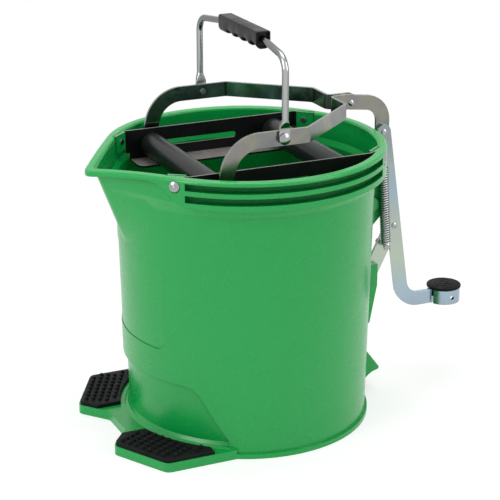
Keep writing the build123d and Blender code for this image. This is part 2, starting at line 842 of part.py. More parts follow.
# Handle bail: a bent tube with flattened ends
with BuildPart() as handle_bail:
    with BuildLine(Plane.YZ.offset(handle_x)) as bail_line:
        FilletPolyline(
            (-handle_tube_y, tube_low),
            (-handle_tube_y, handle_top),
            (handle_tube_y, handle_top),
            (handle_tube_y, tube_low),
            radius=handle_bend,
        )
    with BuildSketch(Plane((handle_x, -handle_tube_y, tube_low))):
        Circle(tube_radius)
    sweep(path=bail_line.wire())
    for side in (-1, 1):
        with BuildSketch(Plane((handle_x, side * handle_tube_y, tube_low))):
            Circle(tube_radius)
        with BuildSketch(Plane((handle_x, side * flat_y, flat_top))):
            Rectangle(flat_width, flat_thickness)
        loft()
    with BuildSketch(Plane.XZ.offset(flat_inner), Plane.XZ.offset(-flat_outer)):
        with Locations((handle_x, strip_z)):
            Rectangle(flat_width, flat_top - strip_z, align=(Align.CENTER, Align.MIN))
            Circle(flat_width / 2)
            Circle(handle_rivet_radius + run_gap, mode=Mode.SUBTRACT)
    extrude(amount=flat_thickness)
save(handle_bail, "handle_bail")

# Handle grip: a moulded sleeve with finger hollows underneath
with BuildPart() as handle_grip:
    finger = 2 * grip_half_length / grip_fingers
    with BuildSketch(Plane.YZ.offset(handle_x)):
        with BuildLine():
            Line((-grip_half_length, grip_low), (-grip_half_length, grip_top))
            Line((-grip_half_length, grip_top), (grip_half_length, grip_top))
            Line((grip_half_length, grip_top), (grip_half_length, grip_low))
            for index in range(grip_fingers):
                start = grip_half_length - index * finger
                middle = (start - finger / 2, grip_low + grip_scallop)
                ThreePointArc((start, grip_low), middle, (start - finger, grip_low))
        make_face()
    extrude(amount=grip_half_width, both=True)
    long_edges = handle_grip.edges().filter_by(Axis.Y)
    fillet(long_edges, grip_edge)
    with BuildSketch(Plane.XZ.offset(-grip_half_length)):
        with Locations((handle_x, handle_top)):
            Circle(tube_radius)
    extrude(amount=2 * grip_half_length, mode=Mode.SUBTRACT)
save(handle_grip, "handle_grip")

# Handle rivets: fast in the strips, with domed heads over the handle's flat ends
with BuildPart() as handle_rivets:
    for side in (-1, 1):
        low = min(side * (strip_inner - rivet_tail_height), side * (flat_outer + seat_gap))
        high = max(side * (strip_inner - rivet_tail_height), side * (flat_outer + seat_gap))
        add(rod_y(handle_x, strip_z, handle_rivet_radius, low, high))
        tail_low = min(side * strip_inner, side * (strip_inner - rivet_tail_height))
        add(rod_y(handle_x, strip_z, rivet_tail_radius, tail_low, tail_low + rivet_tail_height))
        head_plane = Plane((handle_x, side * (flat_outer + seat_gap), strip_z), z_dir=(0, side, 0))
        add(head_plane * domed_head(handle_head_radius, handle_head_height))
save(handle_rivets, "handle_rivets")

# Pedal lever: a long strip bent forward at the foot and rolled into a ring
with BuildPart() as pedal_lever:
    ring_inner = ring_radius - plate_thickness
    foot_corner = upper_x + (upper_z - lever_foot_z) * (crank_x - upper_x) / (upper_z - crank_z)
    with BuildSketch(Plane.XZ.offset(-plate_far)):
        with BuildLine():
            FilletPolyline(
                (upper_x, upper_z),
                (foot_corner, lever_foot_z),
                (ring_x - ring_inner - plate_thickness / 2, lever_foot_z),
                radius=lever_round,
            )
        trace(line_width=lever_width)
        with Locations((upper_x, upper_z)):
            Circle(lever_width / 2)
        with Locations((upper_x, upper_z), (crank_x, crank_z)):
            Circle(pivot_radius, mode=Mode.SUBTRACT)
    extrude(amount=plate_thickness)
    with BuildSketch(Plane.XY.offset(lever_foot_z - lever_width / 2)):
        with Locations((ring_x, ring_y)):
            Circle(ring_radius)
            Circle(ring_inner, mode=Mode.SUBTRACT)
        with Locations(Location((ring_x, ring_y, 0), (0, 0, ring_gap_angle))):
            with Locations((ring_radius, 0)):
                Rectangle(3 * plate_thickness, ring_gap_width, mode=Mode.SUBTRACT)
    extrude(amount=lever_width)
    hole_angle = radians(ring_hole_angle)
    with BuildSketch(Plane((ring_x, ring_y, lever_foot_z), z_dir=(cos(hole_angle), sin(hole_angle), 0))):
        Circle(ring_hole_radius)
    extrude(amount=2 * ring_radius, mode=Mode.SUBTRACT)
save(pedal_lever, "pedal_lever")

# Pedal cap: a domed foot button plugged into the ring, with a key in the ring's gap
ring_top = lever_foot_z + lever_width / 2
with BuildPart() as pedal_cap:
    with BuildSketch(Plane.XZ.offset(-ring_y)) as cap_outline:
        with BuildLine():
            plug_radius = ring_inner - slide_gap
            Polyline((ring_x, ring_top + cap_thickness + cap_dome), (ring_x, ring_top - cap_plug))
            Polyline(
                (ring_x, ring_top - cap_plug),
                (ring_x + plug_radius, ring_top - cap_plug),
                (ring_x + plug_radius, ring_top),
                (ring_x + cap_radius, ring_top),
                (ring_x + cap_radius, ring_top + cap_thickness),
            )
            RadiusArc(
                (ring_x + cap_radius, ring_top + cap_thickness),
                (ring_x, ring_top + cap_thickness + cap_dome),
                -dome_radius(cap_radius, cap_dome),
            )
        make_face()
        fillet(cap_outline.vertices().group_by(Axis.X)[-1], cap_round)
    revolve(axis=Axis((ring_x, ring_y, 0), (0, 0, 1)))
    with BuildSketch(Plane.XY.offset(ring_top)):
        with Locations(Location((ring_x, ring_y, 0), (0, 0, ring_gap_angle))):
            with Locations((ring_radius, 0)):
                key_length = 2 * plate_thickness
                Rectangle(key_length, ring_gap_width - 2 * slide_gap, align=(Align.MAX, Align.CENTER))
    extrude(amount=-cap_key_drop)
save(pedal_cap, "pedal_cap")

# Crank plate from the lower pivot to the lever, beside the lever's far face
with BuildPart() as link_plate:
    with BuildSketch(Plane.XZ.offset(-link_far)):
        with BuildLine():
            Line((lower_x, lower_z), (crank_x, crank_z))
        trace(line_width=link_width)
        with Locations((lower_x, lower_z), (crank_x, crank_z)):
            Circle(link_width / 2)
        with Locations((lower_x, lower_z)):
            Circle(lower_pin_radius + run_gap, mode=Mode.SUBTRACT)
        with Locations((crank_x, crank_z)):
            Circle(pivot_radius, mode=Mode.SUBTRACT)
        with Locations((spring_pin_x, spring_pin_z)):
            Circle(spring_pin_radius, mode=Mode.SUBTRACT)
    extrude(amount=plate_thickness)
save(link_plate, "link_plate")

# Rivet that holds lever and crank plate together
with BuildPart() as lever_link_rivet:
    add(rivet_y(crank_x, crank_z, plate_near, link_far))
save(lever_link_rivet, "lever_link_rivet")

# Upper pivot: fast in the lever, free in the gooseneck's upright slot
washer_low = gooseneck_thickness / 2 + seat_gap
washer_high = washer_low + washer_thickness
with BuildPart() as upper_pivot_rivet:
    add(rivet_y(upper_x, upper_z, plate_near, washer_high))
save(upper_pivot_rivet, "upper_pivot_rivet")
with BuildPart() as upper_pivot_washer:
    add(rod_y(upper_x, upper_z, washer_radius, washer_low, washer_high))
    add(rod_y(upper_x, upper_z, pivot_radius, washer_low, washer_high), mode=Mode.SUBTRACT)
save(upper_pivot_washer, "upper_pivot_washer")

# Lower pivot pin, pressed into the bucket's ears from the far side
with BuildPart() as lower_pivot_pin:
    add(rod_y(lower_x, lower_z, lower_pin_radius, ear_blind - ear_outer, ear_outer))
    pin_plane = Plane((lower_x, ear_outer, lower_z), z_dir=(0, 1, 0))
    add(pin_plane * domed_head(lower_head_radius, lower_head_height))
save(lower_pivot_pin, "lower_pivot_pin")

# Spring pin: fast in the crank plate, with a head at its free end
pin_end = spring_y - wire_radius - 2 * seat_gap
with BuildPart() as spring_pin:
    add(rod_y(spring_pin_x, spring_pin_z, spring_pin_radius, pin_end, link_far))
    add(rod_y(spring_pin_x, spring_pin_z, pin_collar_radius, plate_far - pin_collar_height, plate_far))
    add(rod_y(spring_pin_x, spring_pin_z, pin_collar_radius, link_far, link_far + pin_collar_height))
    pin_face = Plane((spring_pin_x, pin_end, spring_pin_z), z_dir=(0, -1, 0))
    add(pin_face * domed_head(pin_collar_radius, pin_collar_height))
save(spring_pin, "spring_pin")

# Return spring: one unbroken wire, wound on the line from the pin to the near web
hook_middle = Vector(spring_pin_x, spring_y, spring_pin_z)
spring_head = Vector(hook_hole_x, spring_y, hook_hole_z - hook_bend)
spring_line = (spring_head - hook_middle).normalized()
spring_foot = hook_middle - Vector(spring_line.Z, 0, -spring_line.X) * (coil_radius - hook_radius)
spring_axis = (spring_head - spring_foot).normalized()
spring_side = Vector(spring_axis.Z, 0, -spring_axis.X)
spring_width = Vector(0, 1, 0)
coil_length = (spring_head - spring_foot).length - hook_rise
coil_pitch = (coil_length - 4 * run_out / 3) / (spring_turns + 0.25)
twist = 2 * pi / coil_pitch
full_phase = 2 * pi * (spring_turns + 0.25)
run_phase = twist * run_out / 3


def coil_rise(phase):
    """Height along the spring at a turn angle; the turns open out to straight wire at both ends."""
    if phase < run_phase:
        return (3 * phase * run_out**2 / twist) ** (1 / 3)
    if phase > full_phase - run_phase:
        return coil_length - (3 * max(full_phase - phase, 0.0) * run_out**2 / twist) ** (1 / 3)
    return run_out + (phase - run_phase) / twist


def coil_point(phase):
    """Point of the wire's middle line at a turn angle."""
    around = spring_side * (coil_radius * cos(phase)) + spring_width * (coil_radius * sin(phase))
    return spring_foot + spring_axis * (hook_rise + coil_rise(phase)) + around


def coil_heading(phase):
    """Direction of the wire at a turn angle."""
    rise = coil_rise(phase)
    rate = twist * min(rise / run_out, (coil_length - rise) / run_out, 1.0) ** 2
    turn = spring_width * (coil_radius * rate * cos(phase)) - spring_side * (coil_radius * rate * sin(phase))
    return (spring_axis + turn).normalized()


def biarc_joint(start, start_heading, end, end_heading):
    """Point where two arcs meet that join two points with the given headings."""
    chord = end - start
    both = start_heading + end_heading
    spread = 2 * (1 - start_heading.dot(end_heading))
    reach = chord.dot(both)
    if spread < 1e-9:
        share = chord.dot(chord) / (2 * reach)
    else:
        share = (sqrt(reach * reach + spread * chord.dot(chord)) - reach) / spread
    return (start + end + (start_heading - end_heading) * share) / 2


quarter = pi / 2
quarter_count = 4 * spring_turns + 1
last_open = quarter_count - 6
stops = [index for index in range(quarter_count + 1) if index % 2 == 0 or index < 4 or index > last_open]
with BuildPart() as return_spring:
    with BuildLine() as wire_line:
        right = spring_foot + spring_side * coil_radius
        left = right - spring_side * (2 * hook_radius)
        Line(left + spring_axis * hook_tail, left)
        ThreePointArc(left, right - spring_side * hook_radius - spring_axis * hook_radius, right)
        Line(right, right + spring_axis * hook_rise)
        for first, last in zip(stops, stops[1:]):
            start = coil_point(first * quarter)
            end = coil_point(last * quarter)
            start_heading = coil_heading(first * quarter)
            joint = biarc_joint(start, start_heading, end, coil_heading(last * quarter))
            opening = TangentArc(start, joint, tangent=start_heading)
            TangentArc(joint, end, tangent=opening % 1)
        top = coil_point(full_phase)
        turn_end = top + spring_axis * hook_bend + spring_width * hook_bend
        TangentArc(top, turn_end, tangent=spring_axis)
        Line(turn_end, Vector(turn_end.X, spring_end_y, turn_end.Z))
    with BuildSketch(Plane(wire_line.wire() @ 0, z_dir=wire_line.wire() % 0)):
        Circle(wire_radius)
    sweep(path=wire_line.wire())
save(return_spring, "return_spring")

# Least gap between neighbouring turns, measured on points of the wire
samples = [coil_point(full_phase * index / 1200) for index in range(1201)]
half_turn = int(1200 / full_phase * pi)
gaps = [
    (samples[j] - samples[i]).length - 2 * wire_radius
    for i in range(len(samples))
    for j in range(i + half_turn, min(i + 4 * half_turn, len(samples)))
]
print(f"least gap between spring turns {min(gaps):.2f} mm, pitch {coil_pitch:.2f} mm")
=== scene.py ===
import math

import bmesh
import bpy
from bpy.props import FloatProperty, FloatVectorProperty, IntProperty, PointerProperty
from mathutils import Matrix, Vector


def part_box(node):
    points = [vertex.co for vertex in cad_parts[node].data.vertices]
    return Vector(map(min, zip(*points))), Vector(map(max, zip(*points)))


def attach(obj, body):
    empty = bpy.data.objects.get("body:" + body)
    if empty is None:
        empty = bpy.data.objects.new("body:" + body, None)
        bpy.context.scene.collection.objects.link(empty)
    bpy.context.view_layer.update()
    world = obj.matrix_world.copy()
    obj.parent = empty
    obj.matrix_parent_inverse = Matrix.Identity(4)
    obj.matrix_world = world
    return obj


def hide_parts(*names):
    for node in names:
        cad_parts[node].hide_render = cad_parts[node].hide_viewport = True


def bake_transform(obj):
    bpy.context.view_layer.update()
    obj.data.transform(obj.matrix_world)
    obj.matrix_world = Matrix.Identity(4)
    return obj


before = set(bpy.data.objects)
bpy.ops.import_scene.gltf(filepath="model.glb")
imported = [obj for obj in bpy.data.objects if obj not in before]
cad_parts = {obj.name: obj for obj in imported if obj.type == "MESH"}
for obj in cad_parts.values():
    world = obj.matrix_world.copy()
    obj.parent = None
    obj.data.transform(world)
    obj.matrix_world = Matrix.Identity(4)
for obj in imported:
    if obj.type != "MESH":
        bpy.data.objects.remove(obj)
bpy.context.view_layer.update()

bl_info = {
    "name": "Mop Bucket Dressing",
    "version": (1, 0, 0),
    "blender": (4, 5, 0),
    "location": "View3D > Sidebar > Bucket",
    "description": "Finishes and fine pieces for a mop bucket with a pedal wringer",
    "category": "Object",
}

MM = 0.001
SHARP_ANGLE = math.radians(50.0)

# Options that settings of one kind share.
LENGTH = {"subtype": "DISTANCE", "unit": "LENGTH"}
PLACE = {"subtype": "TRANSLATION", "unit": "LENGTH", "size": 3}
COLOUR = {"subtype": "COLOR", "size": 3, "min": 0.0, "max": 1.0}
SHARE = {"subtype": "FACTOR", "min": 0.0, "max": 1.0}

# Nodes of the CAD part that wear one finish.
LEVER_NODES = ("pedal_lever", "link_plate")
YOKE_NODES = ("yoke_arm_near", "yoke_arm_far", "gooseneck_plate")
RIVET_NODES = (
    "rail_rivets", "yoke_rivet", "handle_rivets", "lever_link_rivet", "upper_pivot_rivet",
    "upper_pivot_washer", "lower_pivot_pin", "spring_pin", "fixed_roller_axle", "moving_roller_axle",
    "fixed_axle_clips", "moving_axle_clips",
)
RAIL_NODES = ("rail_near", "rail_far")
ROLLER_NODES = ("fixed_roller", "moving_roller")
BUSH_NODES = ("fixed_roller_bushes", "moving_roller_bushes")
PAD_NODES = ("toe_pad_near", "toe_pad_far", "pedal_cap")

# Heights over which the shell's painted shade changes: the groove shade starts above the foot, and a band
# of painted shade lies between both edges of the rim's flare.
FOOT_SEAM = (10.0 * MM, 25.0 * MM)
FLARE_FOOT = (266.5 * MM, 268.0 * MM)
FLARE_HEAD = (276.0 * MM, 274.5 * MM)
# Painted shade in grooves: a groove is looked for within this reach, and the painted shade is full where
# the place is least open.
GROOVE_SHADE_REACH = 11.0 * MM
GROOVE_SHADE_OPENNESS = (0.80, 0.48)
# Heights between which the bands of the lever's plating lie.
LEVER_BANDS = (85.0 * MM, 300.0 * MM)

# Colours in the plating, the painted green reflection on the yoke's inner faces, and the pale grey painted
# on the rails' upward faces as light from above.
BAND_BLUE = (0.32, 0.44, 0.54)
BAND_LEAF = (0.45, 0.52, 0.41)
BAND_ROSE = (0.42, 0.38, 0.45)
CLOUD_STRAW = (0.31, 0.30, 0.22)
CLOUD_BROWN = (0.27, 0.25, 0.24)
# Painted reflection: green tint on the yoke's inner faces, standing in for the bucket reflected in them.
GREEN_REFLECTION_TINT = (0.55, 1.0, 0.86)
# Painted light: pale grey for the rails' upward faces, standing in for light from above.
RAIL_TOP_LIGHT_GREY = (0.20, 0.187, 0.178)

# Most of a noise pattern lies within this span.
NOISE_SPAN = (0.3, 0.7)
HOLLOW_SAMPLES = 8
BEVEL_SAMPLES = 6

# Ends of the far toe pad's straight edges, seen from above, and the radius of its curved edge.
TOE_CORNERS = (
    (-87.7 * MM, 116.8 * MM),
    (-139.7 * MM, 116.8 * MM),
    (-172.6 * MM, 55.0 * MM),
    (-159.0 * MM, 37.0 * MM),
    (-120.0 * MM, 37.0 * MM),
)
PAD_INNER_RADIUS = 136.5 * MM

# A stud from foot to top, as shares of its height and radius.
STUD_PROFILE = ((0.0, 1.0), (0.55, 0.93), (0.80, 0.82), (0.94, 0.60), (1.0, 0.28))
STUD_SIDES = 12
STUD_SINK = 0.4 * MM
# Share of a stud's radius that stays inside the margin, and how far the grid of studs is tried.
STUD_INSIDE = 0.9
STUD_LINES = 16
STUD_STEPS = 14

# Section of a tread ridge, as shares of its half width and height.
RIDGE_SECTION = ((-1.0, -0.5), (-0.6, 1.0), (0.6, 1.0), (1.0, -0.5))
RIDGE_STEPS = 12
# First ring of tread and the way to the last one, as shares of the cap's radius.
FIRST_RING = 0.24
RING_REACH = 0.58

# Points round the wire, along one turn, and along the lower and the upper hook.
WIRE_SIDES = 8
TURN_STEPS = 20
HOOK_STEPS = 12
BEND_STEPS = 6

# Points round the handle tube, along a bend, and along and round a leg's flattened end and its eye.
TUBE_SIDES = 24
CORNER_STEPS = 12
FLAT_STEPS = 8
FLAT_SIDES = 32
EYE_SIDES = 48
# A ring is round at the first power and nearly square at the second.
ROUND_POWER = 2
SQUARE_POWER = 12
LEAST_SLOPE = 0.001

# Steps along the grip and round each of its edges, and the rounding of its ends as distances and insets.
GRIP_STEPS = 120
EDGE_STEPS = 8
END_EDGE = ((0.0, 0.6 * MM), (0.2 * MM, 0.2 * MM), (0.7 * MM, 0.0))
LEAST_ROUND = 0.3 * MM
BORE_PLAY = 0.05 * MM

# Half width of the floor and far limit of the view in metres, and the camera's sensor in millimetres.
FLOOR_HALF = 6.0
VIEW_END = 50.0
SENSOR_WIDTH = 36.0
# Lamps: name, place, target, size in metres, power in watts.
LAMPS = (
    ("left_lamp", (-2.3, -0.7, 1.5), (0.0, 0.0, 0.15), (1.2, 2.0), 34.0),
    ("right_lamp", (1.7, -1.9, 1.4), (0.0, 0.0, 0.2), (1.2, 2.0), 26.0),
    ("top_lamp", (0.2, 0.3, 2.4), (0.0, 0.0, 0.2), (2.0, 2.0), 36.0),
)


class FinishSettings(bpy.types.PropertyGroup):
    shell_green: FloatVectorProperty(
        name="Shell Green", description="Colour of the moulded bucket",
        default=(0.003, 0.345, 0.064), **COLOUR,
    )
    lever_zinc: FloatVectorProperty(
        name="Lever Zinc", description="Colour of the plated lever and crank",
        default=(0.38, 0.45, 0.44), **COLOUR,
    )
    yoke_zinc: FloatVectorProperty(
        name="Yoke Zinc", description="Colour of the duller plated yoke strips",
        default=(0.215, 0.225, 0.22), **COLOUR,
    )
    handle_chrome: FloatVectorProperty(
        name="Handle Chrome", description="Colour of the bright handle tube",
        default=(0.34, 0.355, 0.35), **COLOUR,
    )
    rivet_silver: FloatVectorProperty(
        name="Rivet Silver", description="Colour of rivets, pins and spring wire",
        default=(0.36, 0.37, 0.375), **COLOUR,
    )
    rail_black: FloatVectorProperty(
        name="Rail Black", description="Colour of the painted rails",
        default=(0.008, 0.008, 0.009), **COLOUR,
    )
    roller_grey: FloatVectorProperty(
        name="Roller Grey", description="Colour of the roller tubes",
        default=(0.009, 0.0095, 0.010), **COLOUR,
    )
    rubber_black: FloatVectorProperty(
        name="Rubber Black", description="Colour of pads and pedal cap",
        default=(0.0045, 0.0046, 0.005), **COLOUR,
    )
    grip_black: FloatVectorProperty(
        name="Grip Black", description="Colour of the handle grip and the roller bushes",
        default=(0.005, 0.005, 0.0054), **COLOUR,
    )


class StudSettings(bpy.types.PropertyGroup):
    radius: FloatProperty(
        name="Stud Radius", description="Radius of a stud at its foot", default=2.3 * MM, **LENGTH,
    )
    height: FloatProperty(
        name="Stud Height", description="Height of a stud over the pad", default=3.0 * MM, **LENGTH,
    )
    row_pitch: FloatProperty(
        name="Row Pitch", description="Distance between studs along a row", default=9.2 * MM, **LENGTH,
    )
    line_pitch: FloatProperty(
        name="Line Pitch", description="Distance between rows", default=7.4 * MM, **LENGTH,
    )
    margin: FloatProperty(
        name="Edge Margin", description="Bare edge of the pad round the studs", default=4.6 * MM, **LENGTH,
    )


class TreadSettings(bpy.types.PropertyGroup):
    rings: IntProperty(
        name="Rings", description="Rings of tread on the pedal cap", default=3, min=2, max=6,
    )
    width: FloatProperty(
        name="Ridge Width", description="Width of a ridge", default=1.9 * MM, **LENGTH,
    )
    rise: FloatProperty(
        name="Ridge Height", description="Height of a ridge", default=0.4 * MM, **LENGTH,
    )
    dome: FloatProperty(
        name="Cap Dome", description="Fall of the cap from its middle to its edge",
        default=1.8 * MM, **LENGTH,
    )
    span: FloatProperty(
        name="Ridge Span", description="Angle that one ridge spans", subtype="ANGLE",
        default=math.radians(68.0),
    )


class SpringSettings(bpy.types.PropertyGroup):
    pin: FloatVectorProperty(
        name="Spring Pin", description="Middle of the lower hook",
        default=(162.8 * MM, -17.0 * MM, 166.8 * MM), **PLACE,
    )
    head: FloatVectorProperty(
        name="Spring Head", description="Place where the upper hook leaves the coil",
        default=(155.7 * MM, -17.0 * MM, 259.8 * MM), **PLACE,
    )
    hook_radius: FloatProperty(
        name="Hook Radius", description="Radius of the lower hook", default=3.35 * MM, **LENGTH,
    )
    hook_tail: FloatProperty(
        name="Hook Tail", description="Straight end of the lower hook", default=2.5 * MM, **LENGTH,
    )
    hook_rise: FloatProperty(
        name="Hook Rise", description="Straight wire between the lower hook and the coil",
        default=1.5 * MM, **LENGTH,
    )
    hook_bend: FloatProperty(
        name="Hook Bend", description="Radius of the upper hook", default=2.2 * MM, **LENGTH,
    )
    hook_end: FloatProperty(
        name="Hook End", description="Place across the bucket where the wire ends",
        default=-6.7 * MM, **LENGTH,
    )
    wire_radius: FloatProperty(
        name="Wire Radius", description="Radius of the spring wire", default=1.0 * MM, **LENGTH,
    )
    coil_radius: FloatProperty(
        name="Coil Radius", description="Radius of the middle of the turns", default=4.75 * MM, **LENGTH,
    )
    turns: IntProperty(
        name="Turns", description="Whole turns of the coil", default=33, min=1, max=100,
    )
    run_out: FloatProperty(
        name="Run Out", description="Length over which the turns open to straight wire",
        default=3.0 * MM, **LENGTH,
    )


class HandleSettings(bpy.types.PropertyGroup):
    middle: FloatProperty(
        name="Handle Middle", description="Place of the handle along the bucket",
        default=-5.0 * MM, **LENGTH,
    )
    pivot_height: FloatProperty(
        name="Pivot Height", description="Height of the handle's rivets", default=331.5 * MM, **LENGTH,
    )
    top: FloatProperty(
        name="Tube Top", description="Height of the tube's middle under the grip",
        default=421.0 * MM, **LENGTH,
    )
    leg: FloatProperty(
        name="Leg Place", description="Distance of each leg from the middle plane",
        default=107.0 * MM, **LENGTH,
    )
    tube_radius: FloatProperty(
        name="Tube Radius", description="Radius of the handle tube", default=3.5 * MM, **LENGTH,
    )
    shoulder_drop: FloatProperty(
        name="Shoulder Drop", description="Fall of the tube from the grip to a leg",
        default=9.0 * MM, **LENGTH,
    )
    shoulder_round: FloatProperty(
        name="Shoulder Round", description="Radius of the bend beside the grip",
        default=60.0 * MM, **LENGTH,
    )
    leg_round: FloatProperty(
        name="Leg Round", description="Radius of the bend into a leg", default=17.0 * MM, **LENGTH,
    )
    flat_place: FloatProperty(
        name="Flat Place", description="Distance of each flattened end from the middle plane",
        default=104.8 * MM, **LENGTH,
    )
    flat_width: FloatProperty(
        name="Flat Width", description="Width of a flattened end", default=11.5 * MM, **LENGTH,
    )
    flat_thickness: FloatProperty(
        name="Flat Thickness", description="Thickness of a flattened end", default=3.0 * MM, **LENGTH,
    )
    flat_rise: FloatProperty(
        name="Flat Rise", description="Height of a flattened end over its rivet",
        default=9.0 * MM, **LENGTH,
    )
    round_rise: FloatProperty(
        name="Round Rise", description="Height over its rivet from which a leg is round",
        default=20.0 * MM, **LENGTH,
    )
    hole_radius: FloatProperty(
        name="Hole Radius", description="Radius of the rivet hole", default=2.65 * MM, **LENGTH,
    )


class GripSettings(bpy.types.PropertyGroup):
    middle: FloatProperty(
        name="Grip Middle", description="Place of the grip along the tube", default=-9.0 * MM, **LENGTH,
    )
    half_length: FloatProperty(
        name="Half Length", description="Half of the grip's length", default=47.0 * MM, **LENGTH,
    )
    half_width: FloatProperty(
        name="Half Width", description="Half of the grip's width", default=8.0 * MM, **LENGTH,
    )
    rise: FloatProperty(
        name="Rise", description="Height of the grip over the tube's middle", default=8.0 * MM, **LENGTH,
    )
    depth: FloatProperty(
        name="Depth", description="Depth of the grip under the tube's middle", default=10.0 * MM, **LENGTH,
    )
    top_round: FloatProperty(
        name="Top Round", description="Radius of the upper edges", default=2.2 * MM, **LENGTH,
    )
    belly_round: FloatProperty(
        name="Belly Round", description="Radius of the lower edges", default=6.5 * MM, **LENGTH,
    )
    hollows: IntProperty(
        name="Hollows", description="Finger hollows under the grip", default=4, min=1, max=8,
    )
    pitch: FloatProperty(
        name="Hollow Pitch", description="Distance between finger hollows", default=19.8 * MM, **LENGTH,
    )
    first: FloatProperty(
        name="First Hollow", description="Distance of the first hollow from the near end",
        default=10.5 * MM, **LENGTH,
    )
    hollow_depth: FloatProperty(
        name="Hollow Depth", description="Depth of a finger hollow", default=3.4 * MM, **LENGTH,
    )
    end_wall: FloatProperty(
        name="End Wall", description="Width of the raised edge round each end", default=1.7 * MM, **LENGTH,
    )
    end_recess: FloatProperty(
        name="End Recess", description="Depth of the recess in each end", default=3.0 * MM, **LENGTH,
    )


class StageSettings(bpy.types.PropertyGroup):
    azimuth: FloatProperty(
        name="Azimuth", description="Camera direction round the bucket", subtype="ANGLE",
        default=math.radians(-24.44),
    )
    elevation: FloatProperty(
        name="Elevation", description="Camera height angle", subtype="ANGLE", default=math.radians(19.58),
    )
    camera_place: FloatVectorProperty(
        name="Camera Place", description="Place of the camera",
        default=(-0.7110, -1.5774, 0.7961), **PLACE,
    )
    lens: FloatProperty(
        name="Lens", description="Focal length on a 36 mm wide sensor", subtype="DISTANCE_CAMERA",
        unit="CAMERA", default=124.15,
    )
    floor_white: FloatVectorProperty(
        name="Floor White", description="Colour of the floor", default=(0.93, 0.93, 0.93), **COLOUR,
    )
    floor_lift: FloatProperty(
        name="Floor Lift", description="Light added to the floor where it is looked at",
        default=0.22, **SHARE,
    )
    floor_plain: FloatProperty(
        name="Floor Plain", description="Share of plain white in the floor next to the bucket",
        default=0.55, **SHARE,
    )
    fade_start: FloatProperty(
        name="Fade Start", description="Distance at which the floor begins to turn to plain white",
        default=0.28, **LENGTH,
    )
    fade_end: FloatProperty(
        name="Fade End", description="Distance from which the floor is plain white",
        default=0.75, **LENGTH,
    )
    surround: FloatProperty(
        name="Surround", description="Strength of the pale light from all sides", default=0.30, **SHARE,
    )


def finish_values():
    """Colours of the finishes."""
    return bpy.context.scene.bucket_finish


def shade(colour, amount):
    """A colour made lighter or darker by a factor."""
    return tuple(min(channel * amount, 1.0) for channel in colour)


def tint(colour, other, share):
    """A colour mixed with another one."""
    return tuple(a + (b - a) * share for a, b in zip(colour, other))


def arithmetic(tree, operation, *values):
    """One step of arithmetic on sockets and plain numbers."""
    step = tree.nodes.new("ShaderNodeMath")
    step.operation = operation
    for socket, value in zip(step.inputs, values):
        if isinstance(value, float):
            socket.default_value = value
        else:
            tree.links.new(value, socket)
    return step.outputs["Value"]


def turned_shader(tree, share, first, second):
    """One shader turned to another by a share."""
    mix = tree.nodes.new("ShaderNodeMixShader")
    for source, socket in zip((share, first, second), mix.inputs):
        tree.links.new(source, socket)
    return mix.outputs["Shader"]


def seen_directly(tree):
    """A factor of one where the camera or a mirror-like surface looks."""
    path = tree.nodes.new("ShaderNodeLightPath")
    mirrored = arithmetic(tree, "MAXIMUM", path.outputs["Is Camera Ray"], path.outputs["Is Glossy Ray"])
    return arithmetic(tree, "MAXIMUM", mirrored, path.outputs["Is Transmission Ray"])


